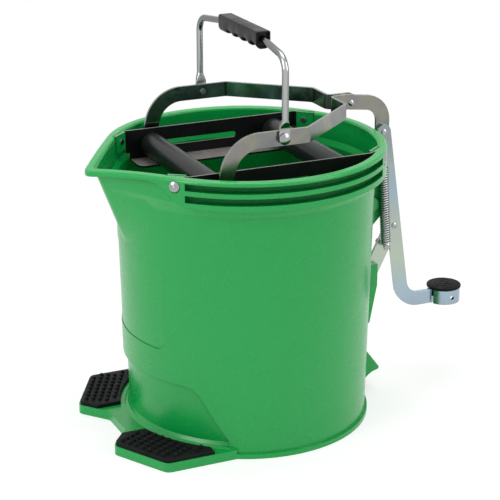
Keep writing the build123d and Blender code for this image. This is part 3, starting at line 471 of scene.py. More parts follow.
class Finish:
    """Node tree of one finish: a principled shader with varied colour, roughness and fine relief."""

    def __init__(self, name, metallic=0.0):
        self.material = bpy.data.materials.get(name) or bpy.data.materials.new(name)
        self.material.use_nodes = True
        self.tree = self.material.node_tree
        self.tree.nodes.clear()
        self.output = self.tree.nodes.new("ShaderNodeOutputMaterial")
        self.shader = self.tree.nodes.new("ShaderNodeBsdfPrincipled")
        surface = self.tree.nodes.new("ShaderNodeTexCoord")
        self.place = surface.outputs["Object"]
        self.normal = surface.outputs["Normal"]
        self.fix("Metallic", metallic)
        self.link(self.shader.outputs["BSDF"], self.output.inputs["Surface"])

    def link(self, source, target):
        """Join two sockets."""
        self.tree.links.new(source, target)

    def fix(self, name, value):
        """Give the shader a value that is the same all over."""
        self.shader.inputs[name].default_value = value

    def vary(self, name, source):
        """Give the shader a value that varies over the surface."""
        self.link(source, self.shader.inputs[name])

    def noise(self, scale, detail=3.0, stretch=(1.0, 1.0, 1.0)):
        """A cloudy pattern that is fixed to the object."""
        mapping = self.tree.nodes.new("ShaderNodeMapping")
        mapping.inputs["Scale"].default_value = stretch
        noise = self.tree.nodes.new("ShaderNodeTexNoise")
        noise.inputs["Scale"].default_value = scale
        noise.inputs["Detail"].default_value = detail
        self.link(self.place, mapping.inputs["Vector"])
        self.link(mapping.outputs["Vector"], noise.inputs["Vector"])
        return noise.outputs["Fac"]

    def ramp(self, source, stops):
        """Colours along a value, each at its own stop."""
        ramp = self.tree.nodes.new("ShaderNodeValToRGB")
        elements = ramp.color_ramp.elements
        while len(elements) < len(stops):
            elements.new(0.5)
        for element, (position, colour) in zip(elements, stops):
            element.position = position
            element.color = (*colour, 1.0)
        self.link(source, ramp.inputs["Fac"])
        return ramp.outputs["Color"]

    def mottle(self, source, colour, dark, light):
        """One colour in clouds between a darker and a lighter shade."""
        low, high = NOISE_SPAN
        return self.ramp(source, ((low, shade(colour, dark)), (high, shade(colour, light))))

    def mixed(self, share, first, second):
        """One colour turned to another by a share."""
        mix = self.tree.nodes.new("ShaderNodeMix")
        mix.data_type = "RGBA"
        first_socket, second_socket = [socket for socket in mix.inputs if socket.type == "RGBA"]
        self.link(share, mix.inputs["Factor"])
        self.link(first, first_socket)
        self.link(second, second_socket)
        return next(socket for socket in mix.outputs if socket.type == "RGBA")

    def spread(self, source, given, wanted=(0.0, 1.0), curve="LINEAR"):
        """A value carried over from one span to another."""
        span = self.tree.nodes.new("ShaderNodeMapRange")
        span.interpolation_type = curve
        span.inputs["From Min"].default_value, span.inputs["From Max"].default_value = given
        span.inputs["To Min"].default_value, span.inputs["To Max"].default_value = wanted
        self.link(source, span.inputs["Value"])
        return span.outputs["Result"]

    def part_of(self, vector, axis):
        """One of the three numbers of a place or a direction."""
        parts = self.tree.nodes.new("ShaderNodeSeparateXYZ")
        self.link(vector, parts.inputs["Vector"])
        return parts.outputs[axis]

    def level(self, given):
        """Share of the way between two heights."""
        return self.spread(self.part_of(self.place, "Z"), given)

    def upward(self, low, high):
        """Share by how far a face looks up."""
        return self.spread(self.part_of(self.normal, "Z"), (low, high))

    def inward(self):
        """One on faces that look toward the middle plane, nought on the others."""
        sides = self.part_of(self.place, "Y"), self.part_of(self.normal, "Y")
        return self.spread(arithmetic(self.tree, "MULTIPLY", *sides), (0.0, -20.0 * MM))

    def distance(self, start, end, least):
        """Share of the way out between two distances from the object's middle, from a least share on."""
        length = self.tree.nodes.new("ShaderNodeVectorMath")
        length.operation = "LENGTH"
        self.link(self.place, length.inputs[0])
        return self.spread(length.outputs["Value"], (start, end), (least, 1.0), "SMOOTHSTEP")

    def facing(self):
        """Share of the way from a face that is looked at straight on to one seen edge on."""
        return self.tree.nodes.new("ShaderNodeLayerWeight").outputs["Facing"]

    def clouded(self, share, cloud, amount):
        """A share whose edges wander with a cloudy pattern."""
        return arithmetic(self.tree, "MULTIPLY_ADD", cloud, amount, share)

    def hollow(self, reach):
        """Openness of the place round a point, low in grooves and corners."""
        openness = self.tree.nodes.new("ShaderNodeAmbientOcclusion")
        openness.samples = HOLLOW_SAMPLES
        openness.only_local = True
        openness.inputs["Distance"].default_value = reach
        return openness.outputs["AO"]

    def glow(self, strength):
        """The shader with a varying glow added to it."""
        light = self.tree.nodes.new("ShaderNodeEmission")
        self.link(strength, light.inputs["Strength"])
        both = self.tree.nodes.new("ShaderNodeAddShader")
        self.link(self.shader.outputs["BSDF"], both.inputs[0])
        self.link(light.outputs["Emission"], both.inputs[1])
        return both.outputs["Shader"]

    def roughness(self, source, low, high):
        """Roughness that follows a pattern."""
        self.vary("Roughness", self.spread(source, NOISE_SPAN, (low, high)))

    def relief(self, source, depth, strength, edge_round):
        """Fine relief that follows a pattern, with edges that look rounded."""
        bump = self.tree.nodes.new("ShaderNodeBump")
        bump.inputs["Distance"].default_value = depth
        bump.inputs["Strength"].default_value = strength
        self.link(source, bump.inputs["Height"])
        bevel = self.tree.nodes.new("ShaderNodeBevel")
        bevel.samples = BEVEL_SAMPLES
        bevel.inputs["Radius"].default_value = edge_round
        self.link(bevel.outputs["Normal"], bump.inputs["Normal"])
        self.vary("Normal", bump.outputs["Normal"])


def moulded_green():
    """Glossy moulded plastic with a faint flow pattern and a slightly grained skin, and painted shade:
    grooves above the foot darker and less glossy, and upward faces at the rim's flare less glossy.
    """
    green = finish_values().shell_green
    finish = Finish("moulded_green")
    flow = finish.noise(9.0, 4.0, stretch=(1.0, 1.0, 0.35))
    open_green = finish.ramp(flow, ((0.25, shade(green, 0.97)), (0.75, shade(green, 1.03))))
    # Painted shade: a darker copy of the green, used in the grooves.
    groove_shade_green = finish.ramp(flow, ((0.25, shade(green, 0.36)), (0.75, shade(green, 0.40))))
    # Painted shade in grooves, found by ambient occlusion and kept above the foot.
    groove_shade = finish.spread(finish.hollow(GROOVE_SHADE_REACH), GROOVE_SHADE_OPENNESS)
    groove_shade = arithmetic(finish.tree, "MULTIPLY", groove_shade, finish.level(FOOT_SEAM))
    finish.vary("Base Color", finish.mixed(groove_shade, open_green, groove_shade_green))
    # Painted shade: the reflection is cut on upward faces in the band of the rim's flare, and in the
    # grooves.
    flare_shade = arithmetic(finish.tree, "MULTIPLY", finish.level(FLARE_FOOT), finish.level(FLARE_HEAD))
    flare_shade = arithmetic(finish.tree, "MULTIPLY", flare_shade, finish.upward(0.15, 0.35))
    shade_dulling = arithmetic(finish.tree, "MAXIMUM", groove_shade, flare_shade)
    finish.vary("Specular IOR Level", finish.spread(shade_dulling, (0.0, 1.0), (0.5, 0.1)))
    finish.roughness(finish.noise(38.0, 2.0), low=0.25, high=0.29)
    finish.relief(finish.noise(420.0, 2.0), depth=0.3 * MM, strength=0.02, edge_round=0.6 * MM)
    finish.fix("IOR", 1.49)
    finish.fix("Subsurface Weight", 0.05)
    finish.fix("Subsurface Radius", (1.0 * MM, 4.0 * MM, 1.5 * MM))
    return finish.material


def lever_plate():
    """Bright zinc plate on the lever, with blue and pale green bands across its length."""
    zinc = finish_values().lever_zinc
    blue = tint(zinc, BAND_BLUE, 0.8)
    leaf = tint(zinc, BAND_LEAF, 0.8)
    rose = tint(zinc, BAND_ROSE, 0.7)
    finish = Finish("lever_plate", metallic=1.0)
    bands = (
        (0.05, shade(tint(blue, rose, 0.5), 0.9)),
        (0.15, blue),
        (0.26, tint(blue, leaf, 0.5)),
        (0.40, leaf),
        (0.54, tint(leaf, rose, 0.2)),
        (0.64, zinc),
        (0.73, blue),
        (0.84, shade(zinc, 0.92)),
        (1.02, shade(zinc, 0.72)),
    )
    height = finish.clouded(finish.level(LEVER_BANDS), finish.noise(26.0, 4.0), 0.16)
    finish.vary("Base Color", finish.ramp(height, bands))
    finish.roughness(finish.noise(60.0, 6.0), low=0.18, high=0.32)
    finish.relief(finish.noise(900.0, 4.0), depth=0.2 * MM, strength=0.08, edge_round=0.4 * MM)
    return finish.material


def yoke_plate():
    """Dull zinc plate on the yoke strips, clouded grey and straw, with a painted green reflection on the
    inner faces.
    """
    zinc = finish_values().yoke_zinc
    finish = Finish("yoke_plate", metallic=1.0)
    clouds = (
        (0.30, shade(zinc, 0.84)),
        (0.44, zinc),
        (0.53, tint(zinc, CLOUD_STRAW, 0.6)),
        (0.62, tint(zinc, CLOUD_BROWN, 0.6)),
        (0.74, shade(zinc, 1.2)),
    )
    # Painted reflection: a green-tinted copy of the clouds for the faces that look toward the middle
    # plane.
    reflected_green = tuple((place, tuple(a * b for a, b in zip(colour, GREEN_REFLECTION_TINT))) for place, colour in clouds)
    cloud = finish.noise(22.0, 5.0)
    strip = finish.mixed(finish.inward(), finish.ramp(cloud, clouds), finish.ramp(cloud, reflected_green))
    finish.vary("Base Color", strip)
    finish.roughness(finish.noise(70.0, 6.0), low=0.13, high=0.26)
    finish.relief(finish.noise(900.0, 4.0), depth=0.2 * MM, strength=0.04, edge_round=0.4 * MM)
    return finish.material


def handle_tube():
    """Bright plated tube of the carry handle, with faint marks drawn along it, and painted highlight and
    shade: lighter where it is looked at straight on and darker toward the edges it turns away.
    """
    chrome = finish_values().handle_chrome
    finish = Finish("handle_tube", metallic=1.0)
    # Painted highlight and shade: the colour follows how far a face turns from the camera.
    painted_edge_shades = ((0.10, shade(chrome, 1.3)), (0.40, shade(chrome, 0.8)), (0.75, shade(chrome, 0.3)))
    turned = finish.clouded(finish.facing(), finish.noise(40.0, 3.0), 0.12)
    finish.vary("Base Color", finish.ramp(turned, painted_edge_shades))
    finish.roughness(finish.noise(160.0, 4.0, stretch=(1.0, 1.0, 0.15)), low=0.1, high=0.22)
    finish.relief(finish.noise(900.0, 3.0), depth=0.1 * MM, strength=0.06, edge_round=0.4 * MM)
    return finish.material


def bright_steel():
    """Bright steel of rivets, pins and axles."""
    silver = finish_values().rivet_silver
    finish = Finish("bright_steel", metallic=1.0)
    finish.vary("Base Color", finish.mottle(finish.noise(120.0, 3.0), silver, 0.9, 1.06))
    finish.roughness(finish.noise(240.0, 4.0), low=0.16, high=0.3)
    finish.relief(finish.noise(1600.0, 2.0), depth=0.1 * MM, strength=0.1, edge_round=0.3 * MM)
    return finish.material


def spring_wire():
    """Dull steel wire with painted highlight and shade: lighter where it is looked at straight on and
    darker where it turns away.
    """
    steel = finish_values().rivet_silver
    finish = Finish("spring_wire", metallic=1.0)
    # Painted highlight and shade: the colour follows how far the wire turns from the camera.
    painted_edge_shades = ((0.15, shade(steel, 1.35)), (0.55, shade(steel, 0.8)), (0.90, shade(steel, 0.25)))
    turned = finish.clouded(finish.facing(), finish.noise(40.0, 3.0), 0.2)
    finish.vary("Base Color", finish.ramp(turned, painted_edge_shades))
    finish.roughness(finish.noise(240.0, 4.0), low=0.24, high=0.36)
    return finish.material


def rail_paint():
    """Glossy black paint with a slight orange peel, and a pale grey painted on the faces that look up as
    light from above.
    """
    black = finish_values().rail_black
    finish = Finish("rail_paint")
    paint = finish.mottle(finish.noise(30.0, 3.0), black, 0.7, 1.0)
    # Painted light: a mottled pale grey on upward faces, standing in for light falling from above.
    pale_mottle = finish.mottle(finish.noise(60.0, 4.0), RAIL_TOP_LIGHT_GREY, 0.8, 1.1)
    finish.vary("Base Color", finish.mixed(finish.upward(0.7, 0.95), paint, pale_mottle))
    finish.roughness(finish.noise(70.0, 4.0), low=0.24, high=0.32)
    finish.relief(finish.noise(520.0, 2.0), depth=0.3 * MM, strength=0.05, edge_round=0.5 * MM)
    finish.fix("Specular IOR Level", 0.2)
    return finish.material


def roller_skin():
    """Satin dark grey tube with fine lengthwise drawing marks."""
    grey = finish_values().roller_grey
    finish = Finish("roller_skin")
    finish.vary("Base Color", finish.mottle(finish.noise(26.0, 4.0, (1.0, 0.15, 1.0)), grey, 0.85, 1.2))
    finish.roughness(finish.noise(90.0, 4.0, stretch=(1.0, 0.1, 1.0)), low=0.27, high=0.36)
    marks = finish.noise(700.0, 3.0, stretch=(1.0, 0.06, 1.0))
    finish.relief(marks, depth=0.3 * MM, strength=0.1, edge_round=0.6 * MM)
    finish.fix("Specular IOR Level", 0.23)
    return finish.material


def pad_rubber():
    """Matte black rubber with a dusty, fine grained skin."""
    black = finish_values().rubber_black
    finish = Finish("pad_rubber")
    pale_mottle = ((0.3, shade(black, 0.8)), (0.72, shade(black, 1.9)))
    finish.vary("Base Color", finish.ramp(finish.noise(45.0, 5.0), pale_mottle))
    finish.roughness(finish.noise(80.0, 4.0), low=0.46, high=0.66)
    finish.relief(finish.noise(1100.0, 3.0), depth=0.3 * MM, strength=0.2, edge_round=0.5 * MM)
    finish.fix("Specular IOR Level", 0.11)
    return finish.material


def grip_plastic():
    """Satin black moulded plastic of the handle grip and the roller bushes."""
    black = finish_values().grip_black
    finish = Finish("grip_plastic")
    finish.vary("Base Color", finish.mottle(finish.noise(40.0, 4.0), black, 0.8, 1.5))
    finish.roughness(finish.noise(90.0, 4.0), low=0.28, high=0.46)
    finish.relief(finish.noise(800.0, 3.0), depth=0.3 * MM, strength=0.12, edge_round=0.8 * MM)
    finish.fix("Specular IOR Level", 0.19)
    return finish.material


def dress(nodes, material):
    """Give carried-over nodes a finish."""
    for name in nodes:
        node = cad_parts[name]
        node.data.materials.clear()
        node.data.materials.append(material)


def mesh_piece(name, bm, material, smooth=True):
    """Turn a bmesh into a scene object with one material."""
    mesh = bpy.data.meshes.new(name)
    bm.to_mesh(mesh)
    bm.free()
    if smooth:
        for polygon in mesh.polygons:
            polygon.use_smooth = True
        mesh.set_sharp_from_angle(angle=SHARP_ANGLE)
    mesh.materials.append(material)
    piece = bpy.data.objects.new(name, mesh)
    bpy.context.scene.collection.objects.link(piece)
    return piece


def ring_of(bm, centre, side_a, side_b, radius, count):
    """A ring of vertices in the plane of two directions."""
    ring = []
    for index in range(count):
        turn = 2 * math.pi * index / count
        across = side_a * (radius * math.cos(turn))
        ring.append(bm.verts.new(centre + across + side_b * (radius * math.sin(turn))))
    return ring


def bridge(bm, low, high):
    """Faces between two rings of equal count."""
    count = len(low)
    for index in range(count):
        after = (index + 1) % count
        bm.faces.new((low[index], low[after], high[after], high[index]))


def skin(bm, rings):
    """Faces between the rings of a run, and a face over each end."""
    for low, high in zip(rings, rings[1:]):
        bridge(bm, low, high)
    bm.faces.new(reversed(rings[0]))
    bm.faces.new(rings[-1])


def add_stud(bm, place, foot, settings):
    """One round stud: a drafted side, a rounded shoulder and a nearly flat top."""
    along, across = Vector((1.0, 0.0, 0.0)), Vector((0.0, 1.0, 0.0))
    rings = []
    for rise, share in STUD_PROFILE:
        centre = Vector((place.x, place.y, foot + (settings.height + STUD_SINK) * rise))
        rings.append(ring_of(bm, centre, along, across, settings.radius * share, STUD_SIDES))
    skin(bm, rings)


def pad_edges(side):
    """Straight edges of one toe pad as a point and an inward direction, seen from above."""
    corners = [Vector(corner) for corner in TOE_CORNERS]
    edges = []
    for first, last in zip(corners, corners[1:]):
        along = (last - first).normalized()
        edges.append((Vector((first.x, first.y * side)), Vector((-along.y, along.x * side))))
    return edges


def stud_places(settings, side):
    """Grid of stud places on one toe pad, in lines along its slanting outer edge."""
    edges = pad_edges(side)
    start, inward = edges[1]
    along = Vector((-inward.y, inward.x)) * side
    edge_room = settings.margin + STUD_INSIDE * settings.radius
    inner_radius = PAD_INNER_RADIUS + settings.margin
    places = []
    for line in range(STUD_LINES):
        for step in range(-STUD_STEPS, STUD_STEPS + 1):
            place = start + inward * (settings.margin + settings.radius + line * settings.line_pitch)
            place = place + along * (step * settings.row_pitch)
            room = min((place - point).dot(normal) for point, normal in edges)
            if room > edge_room and place.length > inner_radius:
                places.append(place)
    return places


def add_ridge(bm, centre, top, reach, radius, turn, settings):
    """One arc of raised tread, lying on the dome of the cap."""
    half = settings.width / 2
    sections = []
    for index in range(RIDGE_STEPS + 1):
        angle = turn + settings.span * (index / RIDGE_STEPS - 0.5)
        spoke = Vector((math.cos(angle), math.sin(angle), 0.0))
        section = []
        for offset, lift in RIDGE_SECTION:
            distance = radius + offset * half
            dome = settings.dome * (distance / reach) ** 2
            foot = Vector((centre.x, centre.y, top - dome + settings.rise * lift))
            section.append(bm.verts.new(foot + spoke * distance))
        sections.append(section)
    skin(bm, sections)


def coil_rise(phase, full_phase, length, run_out):
    """Height along the coil at a turn angle; the turns open out to straight wire at both ends."""
    twist = full_phase / (length - 4 * run_out / 3)
    opening = twist * run_out / 3
    if phase < opening:
        return (3 * phase * run_out ** 2 / twist) ** (1 / 3)
    if phase > full_phase - opening:
        return length - (3 * max(full_phase - phase, 0.0) * run_out ** 2 / twist) ** (1 / 3)
    return run_out + (phase - opening) / twist


def arc_points(centre, start, end_turn, axis, count):
    """Points on an arc about an axis, from a start point."""
    spoke = start - centre
    turns = [end_turn * index / count for index in range(count + 1)]
    return [centre + Matrix.Rotation(turn, 3, axis) @ spoke for turn in turns]


def spring_path(settings):
    """Middle line of the spring's wire, from the lower hook to the upper one, and the coil's two ends."""
    pin, head = Vector(settings.pin), Vector(settings.head)
    width = Vector((0.0, 1.0, 0.0))
    line = (head - pin).normalized()
    foot = pin - Vector((line.z, 0.0, -line.x)) * (settings.coil_radius - settings.hook_radius)
    axis = (head - foot).normalized()
    side = Vector((axis.z, 0.0, -axis.x))
    right = foot + side * settings.coil_radius
    left = right - side * (2 * settings.hook_radius)
    points = [left + axis * settings.hook_tail]
    points += arc_points(right - side * settings.hook_radius, left, math.pi, -width, HOOK_STEPS)
    length = (head - foot).length - settings.hook_rise
    turns = settings.turns + 0.25
    full_phase = 2 * math.pi * turns
    steps = round(turns * TURN_STEPS)
    for index in range(steps + 1):
        phase = full_phase * index / steps
        rise = settings.hook_rise + coil_rise(phase, full_phase, length, settings.run_out)
        around = side * math.cos(phase) + width * math.sin(phase)
        points.append(foot + axis * rise + around * settings.coil_radius)
    top = points[-1]
    points += arc_points(top + width * settings.hook_bend, top, math.pi / 2, -side, BEND_STEPS)[1:]
    last = points[-1]
    points.append(Vector((last.x, settings.hook_end, last.z)))
    return points, foot, head


def tube(bm, points, radius, count):
    """Closed round tube along a run of points."""
    rings = []
    side = Vector((0.0, 1.0, 0.0))
    for index, point in enumerate(points):
        before = points[max(index - 1, 0)]
        after = points[min(index + 1, len(points) - 1)]
        heading = (after - before).normalized()
        side = (side - heading * side.dot(heading)).normalized()
        rings.append(ring_of(bm, point, side, heading.cross(side), radius, count))
    skin(bm, rings)


def rounded_path(corners, radii):
    """Points along straight runs whose inner corners are rounded."""
    points = [corners[0]]
    for before, corner, after, radius in zip(corners, corners[1:], corners[2:], radii):
        back = (before - corner).normalized()
        ahead = (after - corner).normalized()
        opening = back.angle(ahead)
        reach = radius / math.tan(opening / 2)
        middle = corner + (back + ahead).normalized() * (radius / math.sin(opening / 2))
        axis = ahead.cross(back).normalized()
        points += arc_points(middle, corner + back * reach, math.pi - opening, axis, CORNER_STEPS)
    points.append(corners[-1])
    return points


def bail_points(handle, grip):
    """Middle line of the handle tube: leg, shoulder, top, shoulder, leg."""
    foot = handle.pivot_height + handle.round_rise
    shoulder = handle.top - handle.shoulder_drop
    near_end = grip.middle - grip.half_length
    far_end = grip.middle + grip.half_length
    corners = [
        Vector((handle.middle, -handle.leg, foot)),
        Vector((handle.middle, -handle.leg, shoulder)),
        Vector((handle.middle, near_end, handle.top)),
        Vector((handle.middle, far_end, handle.top)),
        Vector((handle.middle, handle.leg, shoulder)),
        Vector((handle.middle, handle.leg, foot)),
    ]
    bends = (handle.leg_round, handle.shoulder_round, handle.shoulder_round, handle.leg_round)
    return rounded_path(corners, bends)


def squared_ring(bm, centre, half_x, half_y, power):
    """A level ring that is squarer the higher the power."""
    ring = []
    for index in range(FLAT_SIDES):
        turn = 2 * math.pi * index / FLAT_SIDES
        across, along = math.cos(turn), math.sin(turn)
        x = math.copysign(abs(across) ** (2 / power), across) * half_x
        y = math.copysign(abs(along) ** (2 / power), along) * half_y
        ring.append(bm.verts.new(centre + Vector((x, y, 0.0))))
    return ring


def add_bail_end(bm, handle, side):
    """One leg's end: the round tube is pressed to a flat strip with a rounded eye."""
    flat_top = handle.pivot_height + handle.flat_rise
    round_low = handle.pivot_height + handle.round_rise
    half_width, half_thickness = handle.flat_width / 2, handle.flat_thickness / 2
    rings = []
    for step in range(FLAT_STEPS + 1):
        share = step / FLAT_STEPS
        ease = share * share * (3 - 2 * share)
        y = handle.leg + (handle.flat_place - handle.leg) * ease
        half_x = handle.tube_radius + (half_width - handle.tube_radius) * ease
        half_y = handle.tube_radius + (half_thickness - handle.tube_radius) * ease
        power = ROUND_POWER + (SQUARE_POWER - ROUND_POWER) * ease
        centre = Vector((handle.middle, side * y, round_low + (flat_top - round_low) * share))
        rings.append(squared_ring(bm, centre, half_x, half_y, power))
    skin(bm, rings)
    loops = []
    for y in (handle.flat_place - half_thickness, handle.flat_place + half_thickness):
        eye = Vector((handle.middle, side * y, handle.pivot_height))
        edge, hole = [], []
        for index in range(EYE_SIDES):
            turn = 2 * math.pi * index / EYE_SIDES
            spoke = Vector((math.cos(turn), 0.0, math.sin(turn)))
            reach = half_width
            if spoke.z > 0.0:
                reach = min(reach / max(abs(spoke.x), LEAST_SLOPE), handle.flat_rise / spoke.z)
            edge.append(bm.verts.new(eye + spoke * reach))
            hole.append(bm.verts.new(eye + spoke * handle.hole_radius))
        loops += [edge, hole]
    inner_edge, inner_hole, outer_edge, outer_hole = loops
    bridge(bm, inner_edge, outer_edge)
    bridge(bm, inner_hole, outer_hole)
    bridge(bm, inner_edge, inner_hole)
    bridge(bm, outer_edge, outer_hole)


def bail_mesh(handle, grip):
    """The handle's bent tube and its two flattened ends."""
    bm = bmesh.new()
    tube(bm, bail_points(handle, grip), handle.tube_radius, TUBE_SIDES)
    for side in (-1, 1):
        add_bail_end(bm, handle, side)
    bmesh.ops.recalc_face_normals(bm, faces=bm.faces)
    return bm


def grip_outline(grip, low, inset):
    """Section of the grip as places beside and above the tube: small edges on top, a round belly below."""
    half = grip.half_width - inset
    top_round = max(grip.top_round - inset, LEAST_ROUND)
    belly_round = max(grip.belly_round - inset, LEAST_ROUND)
    high = grip.rise - inset
    low = low + inset
    arcs = (
        (half - top_round, high - top_round, top_round, 0.0),
        (top_round - half, high - top_round, top_round, math.pi / 2),
        (belly_round - half, low + belly_round, belly_round, math.pi),
        (half - belly_round, low + belly_round, belly_round, 3 * math.pi / 2),
    )
    outline = []
    for x, z, radius, start in arcs:
        for step in range(EDGE_STEPS + 1):
            turn = start + math.pi / 2 * step / EDGE_STEPS
            outline.append((x + radius * math.cos(turn), z + radius * math.sin(turn)))
    return outline


def grip_low(grip, along):
    """Height of the grip's underside at a distance from its near end."""
    place = (along - grip.first) / grip.pitch
    if place < -0.5 or place > grip.hollows - 0.5:
        return -grip.depth
    return -grip.depth + grip.hollow_depth * (0.5 + 0.5 * math.cos(2 * math.pi * place))


def grip_mesh(handle, grip):
    """The grip as one closed sleeve round the tube."""
    bm = bmesh.new()
    near_end = grip.middle - grip.half_length
    length = 2 * grip.half_length
    bore = handle.tube_radius + BORE_PLAY

    def section(along, inset, round_bore=False):
        ring = []
        for x, z in grip_outline(grip, grip_low(grip, along), inset):
            if round_bore:
                stretch = bore / math.hypot(x, z)
                x, z = x * stretch, z * stretch
            ring.append(bm.verts.new((handle.middle + x, near_end + along, handle.top + z)))
        return ring

    recess, wall = grip.end_recess, grip.end_wall
    edge = END_EDGE[-1][0]
    rings = [section(recess, 0.0, True), section(recess, wall), section(0.0, wall)]
    rings += [section(along, inset) for along, inset in END_EDGE]
    for step in range(1, GRIP_STEPS + 1):
        rings.append(section(edge + (length - 2 * edge) * step / GRIP_STEPS, 0.0))
    rings += [section(length - along, inset) for along, inset in reversed(END_EDGE[:-1])]
    rings += [section(length, wall), section(length - recess, wall), section(length - recess, 0.0, True)]
    for low, high in zip(rings, rings[1:] + rings[:1]):
        bridge(bm, low, high)
    bmesh.ops.recalc_face_normals(bm, faces=bm.faces)
    return bm


def build_floor(settings):
    """A large pale floor that looks white to the camera and keeps the shadow."""
    bm = bmesh.new()
    bmesh.ops.create_grid(bm, x_segments=1, y_segments=1, size=FLOOR_HALF)
    finish = Finish("floor_paper")
    finish.vary("Base Color", finish.mottle(finish.noise(3.0, 2.0), settings.floor_white, 0.995, 1.0))
    finish.fix("Roughness", 0.9)
    seen = seen_directly(finish.tree)
    near = finish.glow(arithmetic(finish.tree, "MULTIPLY", seen, settings.floor_lift))
    fade = finish.distance(settings.fade_start, settings.fade_end, settings.floor_plain)
    share = arithmetic(finish.tree, "MULTIPLY", seen, fade)
    white = finish.tree.nodes.new("ShaderNodeEmission")
    surface = turned_shader(finish.tree, share, near, white.outputs["Emission"])
    finish.link(surface, finish.output.inputs["Surface"])
    floor = mesh_piece("floor", bm, finish.material, smooth=False)


def put_aimed(name, data, place, direction):
    """A lamp or a camera put in its place, looking in a direction."""
    aimed = bpy.data.objects.new(name, data)
    aimed.location = place
    aimed.rotation_euler = direction.to_track_quat("-Z", "Y").to_euler()
    bpy.context.scene.collection.objects.link(aimed)
    return aimed


def build_lights():
    """Two tall soft lamps at the sides and a soft one above."""
    for name, place, target, size, power in LAMPS:
        lamp = bpy.data.lights.new(name, "AREA")
        lamp.shape = "RECTANGLE"
        lamp.size, lamp.size_y = size
        lamp.energy = power
        put_aimed(name, lamp, place, Vector(target) - Vector(place))


def build_surround(settings):
    """A pale surround that looks white behind the bucket."""
    world = bpy.data.worlds.new("studio")
    world.use_nodes = True
    tree = world.node_tree
    light = tree.nodes["Background"]
    backdrop = tree.nodes.new("ShaderNodeBackground")
    for background, strength in ((light, settings.surround), (backdrop, 1.0)):
        background.inputs["Color"].default_value = (1.0, 1.0, 1.0, 1.0)
        background.inputs["Strength"].default_value = strength
    shaders = light.outputs["Background"], backdrop.outputs["Background"]
    surface = turned_shader(tree, seen_directly(tree), *shaders)
    tree.links.new(surface, tree.nodes["World Output"].inputs["Surface"])
    bpy.context.scene.world = world


def build_camera(settings):
    """The camera at the photograph's viewing angle."""
    camera = bpy.data.cameras.new("camera")
    camera.sensor_width = SENSOR_WIDTH
    camera.lens = settings.lens
    camera.clip_end = VIEW_END
    flat = math.cos(settings.elevation)
    back = Vector((
        math.sin(settings.azimuth) * flat,
        -math.cos(settings.azimuth) * flat,
        math.sin(settings.elevation),
    ))
    bpy.context.scene.camera = put_aimed("camera", camera, settings.camera_place, -back)


class BUCKET_OT_shell(bpy.types.Operator):
    """Finish the moulded bucket"""

    bl_idname = "bucket.shell"
    bl_label = "Bucket Shell"

    def execute(self, context):
        dress(("bucket_shell",), moulded_green())
        return {"FINISHED"}


class BUCKET_OT_metalwork(bpy.types.Operator):
    """Finish the plated strips, the rivets and the axles"""

    bl_idname = "bucket.metalwork"
    bl_label = "Metalwork"

    def execute(self, context):
        dress(LEVER_NODES, lever_plate())
        dress(YOKE_NODES, yoke_plate())
        dress(RIVET_NODES, bright_steel())
        return {"FINISHED"}


class BUCKET_OT_wringer(bpy.types.Operator):
    """Finish the rails, the rollers and their bushes"""

    bl_idname = "bucket.wringer"
    bl_label = "Rails and Rollers"

    def execute(self, context):
        dress(RAIL_NODES, rail_paint())
        dress(ROLLER_NODES, roller_skin())
        dress(BUSH_NODES, grip_plastic())
        return {"FINISHED"}


class BUCKET_OT_rubber(bpy.types.Operator):
    """Finish the pads and the pedal cap"""

    bl_idname = "bucket.rubber"
    bl_label = "Rubber"

    def execute(self, context):
        dress(PAD_NODES, pad_rubber())
        return {"FINISHED"}


class BUCKET_OT_toe_studs(bpy.types.Operator):
    """Round studs moulded on the two toe pads"""

    bl_idname = "bucket.toe_studs"
    bl_label = "Toe Pad Studs"

    def execute(self, context):
        settings = context.scene.bucket_studs
        pads = (("toe_studs_near", "toe_pad_near", -1), ("toe_studs_far", "toe_pad_far", 1))
        for name, node, side in pads:
            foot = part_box(node)[1][2] - STUD_SINK
            bm = bmesh.new()
            for place in stud_places(settings, side):
                add_stud(bm, place, foot, settings)
            studs = mesh_piece(name, bm, bpy.data.materials["pad_rubber"])
            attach(studs, "bucket")
        return {"FINISHED"}


class BUCKET_OT_cap_tread(bpy.types.Operator):
    """Raised tread on the pedal cap: broken rings that follow its dome"""

    bl_idname = "bucket.cap_tread"
    bl_label = "Pedal Cap Tread"

    def execute(self, context):
        low, high = (Vector(corner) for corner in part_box("pedal_cap"))
        settings = context.scene.bucket_tread
        centre = (low + high) / 2
        reach = (high.x - low.x) / 2
        bm = bmesh.new()
        for index in range(settings.rings):
            radius = reach * (FIRST_RING + RING_REACH * index / (settings.rings - 1))
            for quarter in range(4):
                turn = math.pi / 2 * quarter + (math.pi / 4 if index % 2 else 0.0)
                add_ridge(bm, centre, high.z, reach, radius, turn, settings)
        tread = mesh_piece("pedal_cap_tread", bm, bpy.data.materials["pad_rubber"])
        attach(tread, "pedal")
        return {"FINISHED"}


class BUCKET_OT_return_spring(bpy.types.Operator):
    """Close wound return spring with a hook at each end"""

    bl_idname = "bucket.return_spring"
    bl_label = "Return Spring"

    def execute(self, context):
        settings = context.scene.bucket_spring
        points, foot, head = spring_path(settings)
        bm = bmesh.new()
        tube(bm, points, settings.wire_radius, WIRE_SIDES)
        spring = mesh_piece("return_spring_wire", bm, spring_wire())
        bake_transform(spring)
        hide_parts("return_spring")
        return {"FINISHED"}


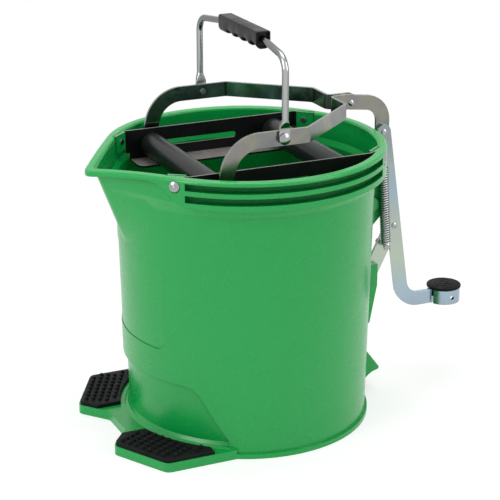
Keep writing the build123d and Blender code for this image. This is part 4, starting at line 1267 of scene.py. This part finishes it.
class BUCKET_OT_handle(bpy.types.Operator):
    """Carry handle: a bent tube with flattened ends and a grip with finger hollows"""

    bl_idname = "bucket.handle"
    bl_label = "Carry Handle"

    def execute(self, context):
        handle, grip = context.scene.bucket_handle, context.scene.bucket_grip
        bail = mesh_piece("handle_bail_tube", bail_mesh(handle, grip), handle_tube())
        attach(bail, "handle")
        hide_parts("handle_bail")
        plastic = bpy.data.materials["grip_plastic"]
        sleeve = mesh_piece("handle_grip_sleeve", grip_mesh(handle, grip), plastic)
        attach(sleeve, "handle")
        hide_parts("handle_grip")
        return {"FINISHED"}


class BUCKET_OT_stage(bpy.types.Operator):
    """Pale floor, soft studio light and the camera"""

    bl_idname = "bucket.stage"
    bl_label = "Stage"

    def execute(self, context):
        settings = context.scene.bucket_stage
        build_floor(settings)
        build_lights()
        build_surround(settings)
        build_camera(settings)
        context.scene.view_settings.view_transform = "Standard"
        return {"FINISHED"}


class BUCKET_PT_panel(bpy.types.Panel):
    """Sidebar list of the bucket's operators"""

    bl_label = "Mop Bucket"
    bl_idname = "BUCKET_PT_panel"
    bl_space_type = "VIEW_3D"
    bl_region_type = "UI"
    bl_category = "Bucket"

    def draw(self, context):
        for operator in OPERATORS:
            self.layout.operator(operator.bl_idname)


SETTINGS = (
    ("bucket_finish", FinishSettings),
    ("bucket_studs", StudSettings),
    ("bucket_tread", TreadSettings),
    ("bucket_spring", SpringSettings),
    ("bucket_handle", HandleSettings),
    ("bucket_grip", GripSettings),
    ("bucket_stage", StageSettings),
)
OPERATORS = (
    BUCKET_OT_shell,
    BUCKET_OT_metalwork,
    BUCKET_OT_wringer,
    BUCKET_OT_rubber,
    BUCKET_OT_toe_studs,
    BUCKET_OT_cap_tread,
    BUCKET_OT_return_spring,
    BUCKET_OT_handle,
    BUCKET_OT_stage,
)


def register():
    for name, group in SETTINGS:
        bpy.utils.register_class(group)
        setattr(bpy.types.Scene, name, PointerProperty(type=group))
    for operator in OPERATORS:
        bpy.utils.register_class(operator)
    bpy.utils.register_class(BUCKET_PT_panel)


def unregister():
    bpy.utils.unregister_class(BUCKET_PT_panel)
    for operator in reversed(OPERATORS):
        bpy.utils.unregister_class(operator)
    for name, group in reversed(SETTINGS):
        delattr(bpy.types.Scene, name)
        bpy.utils.unregister_class(group)


def main():
    register()
    bpy.ops.bucket.shell()
    bpy.ops.bucket.metalwork()
    bpy.ops.bucket.wringer()
    bpy.ops.bucket.rubber()
    bpy.ops.bucket.toe_studs()
    bpy.ops.bucket.cap_tread()
    bpy.ops.bucket.return_spring()
    bpy.ops.bucket.handle()
    bpy.ops.bucket.stage()


if __name__ == "__main__":
    main()
